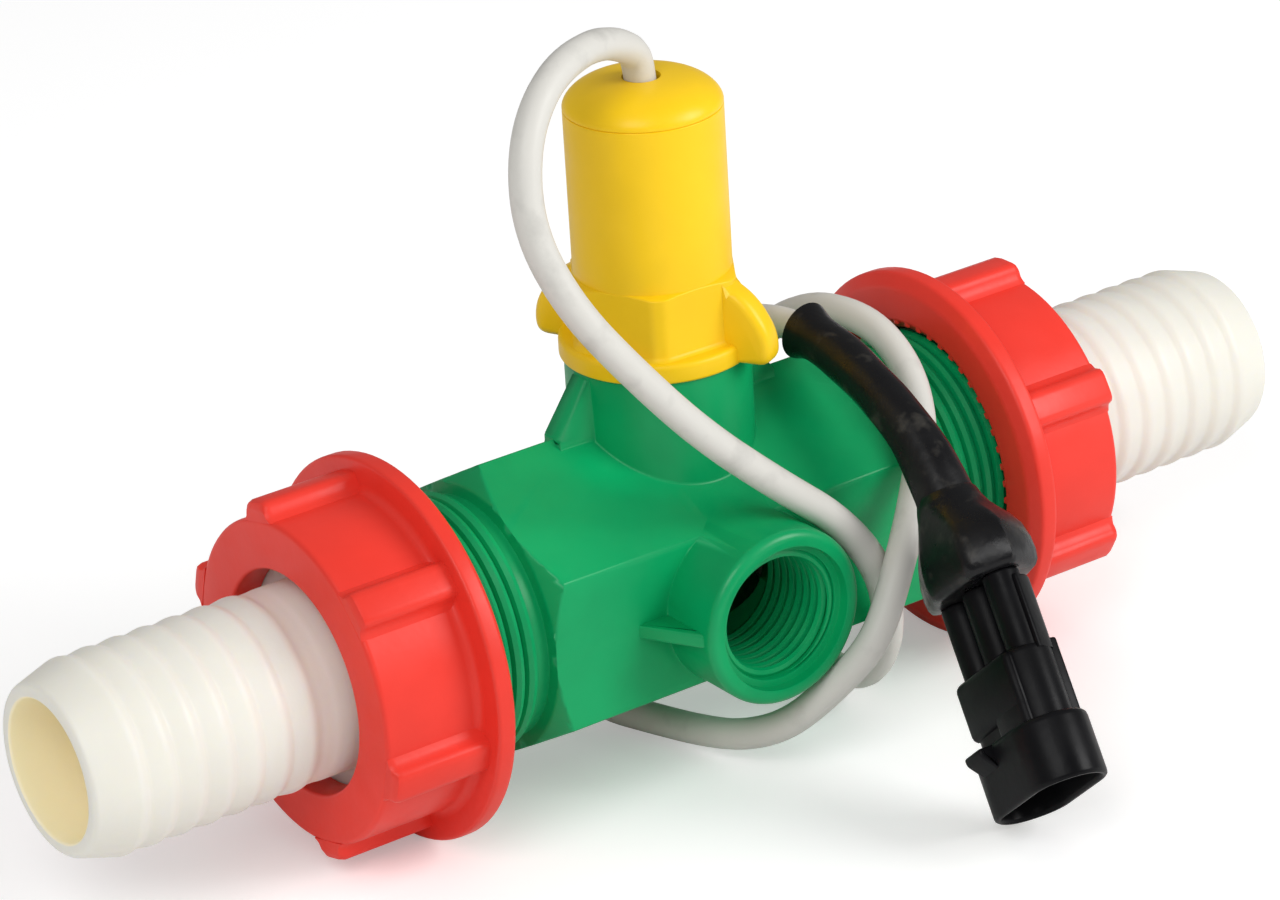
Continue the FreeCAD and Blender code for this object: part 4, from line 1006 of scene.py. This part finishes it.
def line_from_end(points, length):
    """The last stretch of a line, of about the given length, in its own direction."""
    kept, travelled = [points[-1]], 0
    for point, before in zip(points[::-1], points[-2::-1]):
        travelled += (point - before).length
        kept.append(before)
        if travelled >= length:
            break
    return kept[::-1]


sleeve_line = line_from_end(cable_line, SLEEVE_LENGTH)
print("sleeve line:", len(sleeve_line), "points")

# %% [markdown]
# ### The sleeve's skin
# A curve with a bevel would be a perfect tube, and a real sleeve is not: it has a flared lip, swells into
# the boot and folds along one side. So rings of vertices are carried along the line, and a function gives
# the radius for each place along the sleeve and each angle round it.

# %% Sleeve
SLEEVE_RADIUS, SLEEVE_LINING = 3.75, 0.15
LIP_HEIGHT, LIP_SHARE = 0.9, 0.045
SWELL_HEIGHT, SWELL_START = 0.9, 0.55
FOLD_SIDE, FOLD_HEIGHT, FOLD_ANGLE = Vector((-1, -0.2, -0.2)), 0.5, 0.22
FOLD_START, FOLD_FULL = 0.4, 0.7
RIPPLE_HEIGHT, RIPPLES_ALONG, RIPPLES_ROUND = 0.06, 23, 2


def ramp(value, start, end):
    """Nothing up to the start, one from the end on, and an even rise between them."""
    return min(1, max(0, (value - start) / (end - start)))


def sleeve_radius(share, angle):
    lip = LIP_HEIGHT * math.exp(-(share / LIP_SHARE) ** 2)
    swell = SWELL_HEIGHT * ramp(share, SWELL_START, 1) ** 2
    fold = FOLD_HEIGHT * ramp(share, FOLD_START, FOLD_FULL) * math.exp(-(angle / FOLD_ANGLE) ** 2)
    ripple = RIPPLE_HEIGHT * math.sin(RIPPLES_ALONG * share + RIPPLES_ROUND * angle)
    return SLEEVE_RADIUS + lip + swell + fold + ripple


def sweep_rings(shape, points, radius_at, steps=48):
    """Rings of vertices round a line of points, carried along without twisting."""
    side = FOLD_SIDE
    rings = []
    for index, point in enumerate(points):
        ahead = (points[min(index + 1, len(points) - 1)] - points[max(index - 1, 0)]).normalized()
        side = (side - ahead * side.dot(ahead)).normalized()
        other = ahead.cross(side)
        ring = []
        for step in range(steps):
            angle = 2 * math.pi * (step / steps if step <= steps / 2 else step / steps - 1)
            radius = radius_at(index / (len(points) - 1), angle)
            ring.append(shape.verts.new(point + (side * math.cos(angle) + other * math.sin(angle)) * radius))
        rings.append(ring)
    return rings


sleeve_shape = bmesh.new()
outside = sweep_rings(sleeve_shape, sleeve_line, sleeve_radius)
lining = sweep_rings(sleeve_shape, sleeve_line, lambda share, angle: CABLE_RADIUS + SLEEVE_LINING)
join_rings(sleeve_shape, outside + lining[::-1], close=True)
sleeve = make_object("cable_sleeve_skin", sleeve_shape, RUBBER, sharp=50)
settle(sleeve, "meter", "sleeve_black", "cable_sleeve")

# %% [markdown]
# ## Boot
# A rubber boot leads from the sleeve to the connector's back. It widens like a bell and is pressed flat
# between soft ridges, which no turned shape has. So it is a row of oval sections along the plug's axis, given
# by their place, half width and half depth, and each is drawn towards a seven-sided outline.

# %% Boot
CABLE_END = Vector(CABLE_ROUTE[-1])
PLUG_AHEAD = Vector((-0.157, -0.667, -0.728)).normalized()
ROUGH_WIDE = Vector((0.015, -0.739, 0.673))
PLUG_WIDE = (ROUGH_WIDE - PLUG_AHEAD * ROUGH_WIDE.dot(PLUG_AHEAD)).normalized()
PLUG_DEEP = PLUG_AHEAD.cross(PLUG_WIDE)
BOOT_FACETS, BOOT_FLATNESS, LATCH_SLIMMING, BOOT_NECK = 7, 0.85, 0.22, 5.0
boot_stations = [
    (-2.4, 4.0, 4.0), (-1.6, 4.8, 4.8), (-0.2, 5.3, 5.2), (1.4, 6.2, 5.9), (2.8, 7.5, 6.7),
    (4.5, 9.4, 7.8), (6.5, 10.9, 8.7), (9.0, 11.8, 9.2), (11.2, 12.0, 9.3), (12.8, 11.8, 9.0),
    (13.6, 11.3, 8.4), (13.9, 10.6, 7.8), (13.95, 9.4, 6.8),
]


def facet(angle):
    """The distance to a flat-sided outline, as a share of its corner distance."""
    step = 2 * math.pi / BOOT_FACETS
    return math.cos(step / 2) / math.cos(angle % step - step / 2)


def boot_ring(shape, ahead, half_width, half_depth, steps=56):
    """One section of the boot: an oval, slimmer on the latch's side and drawn flat between soft ridges."""
    centre = CABLE_END + PLUG_AHEAD * ahead
    past_neck = ramp(ahead, 0, BOOT_NECK)
    ring = []
    for step in range(steps):
        angle = 2 * math.pi * step / steps
        size = 1 - BOOT_FLATNESS * past_neck * (1 - facet(angle))
        across, inward = half_width * size * math.cos(angle), half_depth * size * math.sin(angle)
        if inward > 0:
            inward *= 1 - LATCH_SLIMMING * past_neck
        ring.append(shape.verts.new(centre + PLUG_WIDE * across + PLUG_DEEP * inward))
    return ring


boot_shape = bmesh.new()
join_rings(boot_shape, [boot_ring(boot_shape, *station) for station in boot_stations])
boot = make_object("connector_boot_skin", boot_shape, RUBBER, sharp=50)
settle(boot, "meter", "sleeve_black", "connector_boot")

# %% [markdown]
# ## Connector
# The plug has three wire barrels at the back, a block, a wide shroud with the mouth, and a latch on one
# side. It is drawn standing along Z, wide along X, and then turned onto the cable's end. Bevelled cubes would
# miss its slanted sides, so block and shroud are stacks of one outline, a long hexagon with rounded corners,
# which draws in where an edge is rounded over. The shroud's stack turns round at the rim and goes back down
# inside, so the mouth is hollow.

# %% Block and shroud
PLUG_HALF_WIDE, PLUG_HALF_FLAT, PLUG_HALF_DEEP = 12.6, 8.6, 6.5
BLOCK_START, SHROUD_START, SHROUD_END, MOUTH_FLOOR = 12.0, 23.5, 34.0, 25.5
SHROUD_CORNER, BLOCK_CORNER, FLAT_SHARE = 4.2, 3.4, 0.4


def plug_section(inset, rounding):
    """The plug's long hexagon, drawn in by an inset, with rounded corners."""
    wide, deep = PLUG_HALF_WIDE - inset, PLUG_HALF_DEEP - inset
    flat = PLUG_HALF_FLAT - FLAT_SHARE * inset
    corners = [(wide, 0), (flat, deep), (-flat, deep), (-wide, 0), (-flat, -deep), (flat, -deep)]
    return round_corners([(*corner, rounding) for corner in corners], steps=8)


shroud_stations = [
    (SHROUD_START, 1.7), (SHROUD_START, 1.0), (SHROUD_START + 0.15, 0.45), (SHROUD_START + 0.5, 0.12),
    (SHROUD_START + 1.1, 0), (SHROUD_END - 0.7, 0), (SHROUD_END - 0.25, 0.12), (SHROUD_END, 0.45),
    (SHROUD_END, 0.85), (SHROUD_END - 0.25, 1.15), (SHROUD_END - 0.7, 1.3), (MOUTH_FLOOR + 0.5, 1.35),
    (MOUTH_FLOOR, 1.9),
]
block_stations = [
    (BLOCK_START, 3.4), (BLOCK_START, 2.9), (BLOCK_START + 0.15, 2.4), (BLOCK_START + 0.5, 2.1),
    (BLOCK_START + 1.1, 2.0), (SHROUD_START + 1, 2.0),
]
plug_shape = stack_outlines(lambda inset: plug_section(inset, SHROUD_CORNER), shroud_stations)
add_shape(plug_shape, stack_outlines(lambda inset: plug_section(inset, BLOCK_CORNER), block_stations))
print("block and shroud:", len(plug_shape.faces), "faces")

# %% [markdown]
# ### Barrels and cheek
# Each wire enters through a round barrel, and a wall, the cheek, carries one slanted side of the block back
# beside them. A barrel is a spun profile. The cheek bends round a corner, so it is again a stack of one
# outline. A narrow rail runs along the same side.

# %% Barrels and cheek
WIRE_PITCH, WIRE_BARREL, BARREL_EDGE, BARREL_STEPS = 6.8, 2.9, 0.4, 40
CHEEK_CORNERS = [(8.6, 0, 0.5), (6.8, -2.5, 0.5), (2.3, -2.5, 0.6), (2.3, -4.5, 0.6), (7.8, -4.5, 1.5),
                 (10.6, 0, 1.0)]
CHEEK_STATIONS = [(1.1, 0.4), (1.3, 0.12), (1.7, 0), (13.1, 0)]
RAIL_LOW, RAIL_HIGH, RAIL_EDGE = (3.8, -5.6, 11.2), (7.3, -3.5, 24.2), 0.45

barrel_end = BLOCK_START + 1
barrel_outline = round_corners([(0, 0, 0), (0, WIRE_BARREL, BARREL_EDGE), (barrel_end, WIRE_BARREL, 0),
                                (barrel_end, 0, 0)], closed=False)
for place in (-WIRE_PITCH, 0, WIRE_PITCH):
    wire_barrel = stand_up(spin_profile(barrel_outline, BARREL_STEPS, closed=False))
    bmesh.ops.translate(wire_barrel, vec=(place, 0, 0), verts=wire_barrel.verts)
    add_shape(plug_shape, wire_barrel)
cheek_outline = round_corners(CHEEK_CORNERS)
add_shape(plug_shape, stack_outlines(lambda inset: inset_outline(cheek_outline, inset), CHEEK_STATIONS))
add_shape(plug_shape, soft_block(RAIL_LOW, RAIL_HIGH, RAIL_EDGE))
print("with barrels, cheek and rail:", len(plug_shape.faces), "faces")

# %% [markdown]
# ### Latch
# The latch's side has a panel that stands a little proud of the block, and a hook on the shroud with a gap
# before it. The panel is two soft blocks that overlap, because its far edge is stepped. The hook's slope
# needs an outline, so it is a rounded plate, turned to lie across the plug.

# %% Latch
PANELS = [((-8.3, 3.0, 12.1), (8.3, 5.1, 21.6)), ((-0.6, 3.0, 18.0), (8.25, 5.08, 24.6))]
PANEL_EDGE, HOOK_WIDTH, HOOK_EDGE, HOOK_X = 1.2, 5.0, 0.5, -3.5
HOOK_CORNERS = [(5.8, 23.6, 0), (8.8, 24.0, 0.5), (8.8, 25.2, 0.6), (6.4, 27.6, 0.5), (5.8, 27.6, 0)]
BOOT_LENGTH = 14.0

for low, high in PANELS:
    add_shape(plug_shape, soft_block(low, high, PANEL_EDGE))
hook = rounded_plate(round_corners(HOOK_CORNERS), HOOK_WIDTH, HOOK_EDGE)
lift_hook = Matrix.Translation((HOOK_X, 0, 0)) @ Matrix(((0, 0, 1), (1, 0, 0), (0, 1, 0))).to_4x4()
bmesh.ops.transform(hook, matrix=lift_hook, verts=hook.verts)
add_shape(plug_shape, hook)
plug_axes = Matrix((PLUG_WIDE, PLUG_DEEP, PLUG_AHEAD)).transposed().to_4x4()
onto_cable = Matrix.Translation(CABLE_END + PLUG_AHEAD * BOOT_LENGTH) @ plug_axes
connector = make_object("connector_moulding", plug_shape, BLACK, onto_cable)
settle(connector, "meter", "connector_black", "connector_housing")

# %% [markdown]
# ## The cable's body
# The cable rides on the meter's body, and the cable solid that it stands for is hidden.

settle(cable, "meter", "cable_white", "cable")

# %% [markdown]
# ## Inside pieces
# The straighteners, the turbine, the electronics and the contact pins sit inside. They could be made again
# with soft edges, but they are hidden or seen only deep in a bore, so they keep their solids and only need
# finishes.

# %% Inside finishes
inside = {
    "inlet_flow_straightener": INSERT, "outlet_flow_straightener": INSERT, "turbine_rotor": ROTOR,
    "rotor_magnets": FERRITE, "rotor_axle": STEEL, "inlet_bush": BRASS, "outlet_bush": BRASS,
    "inlet_gasket": RUBBER, "outlet_gasket": RUBBER, "sensor_oring": RUBBER, "circuit_board": BOARD,
    "hall_element": BLACK, "connector_pins": BRASS,
}
for name, material in inside.items():
    nodes[name].data.materials[0] = material
print("finished inside pieces:", len(inside))
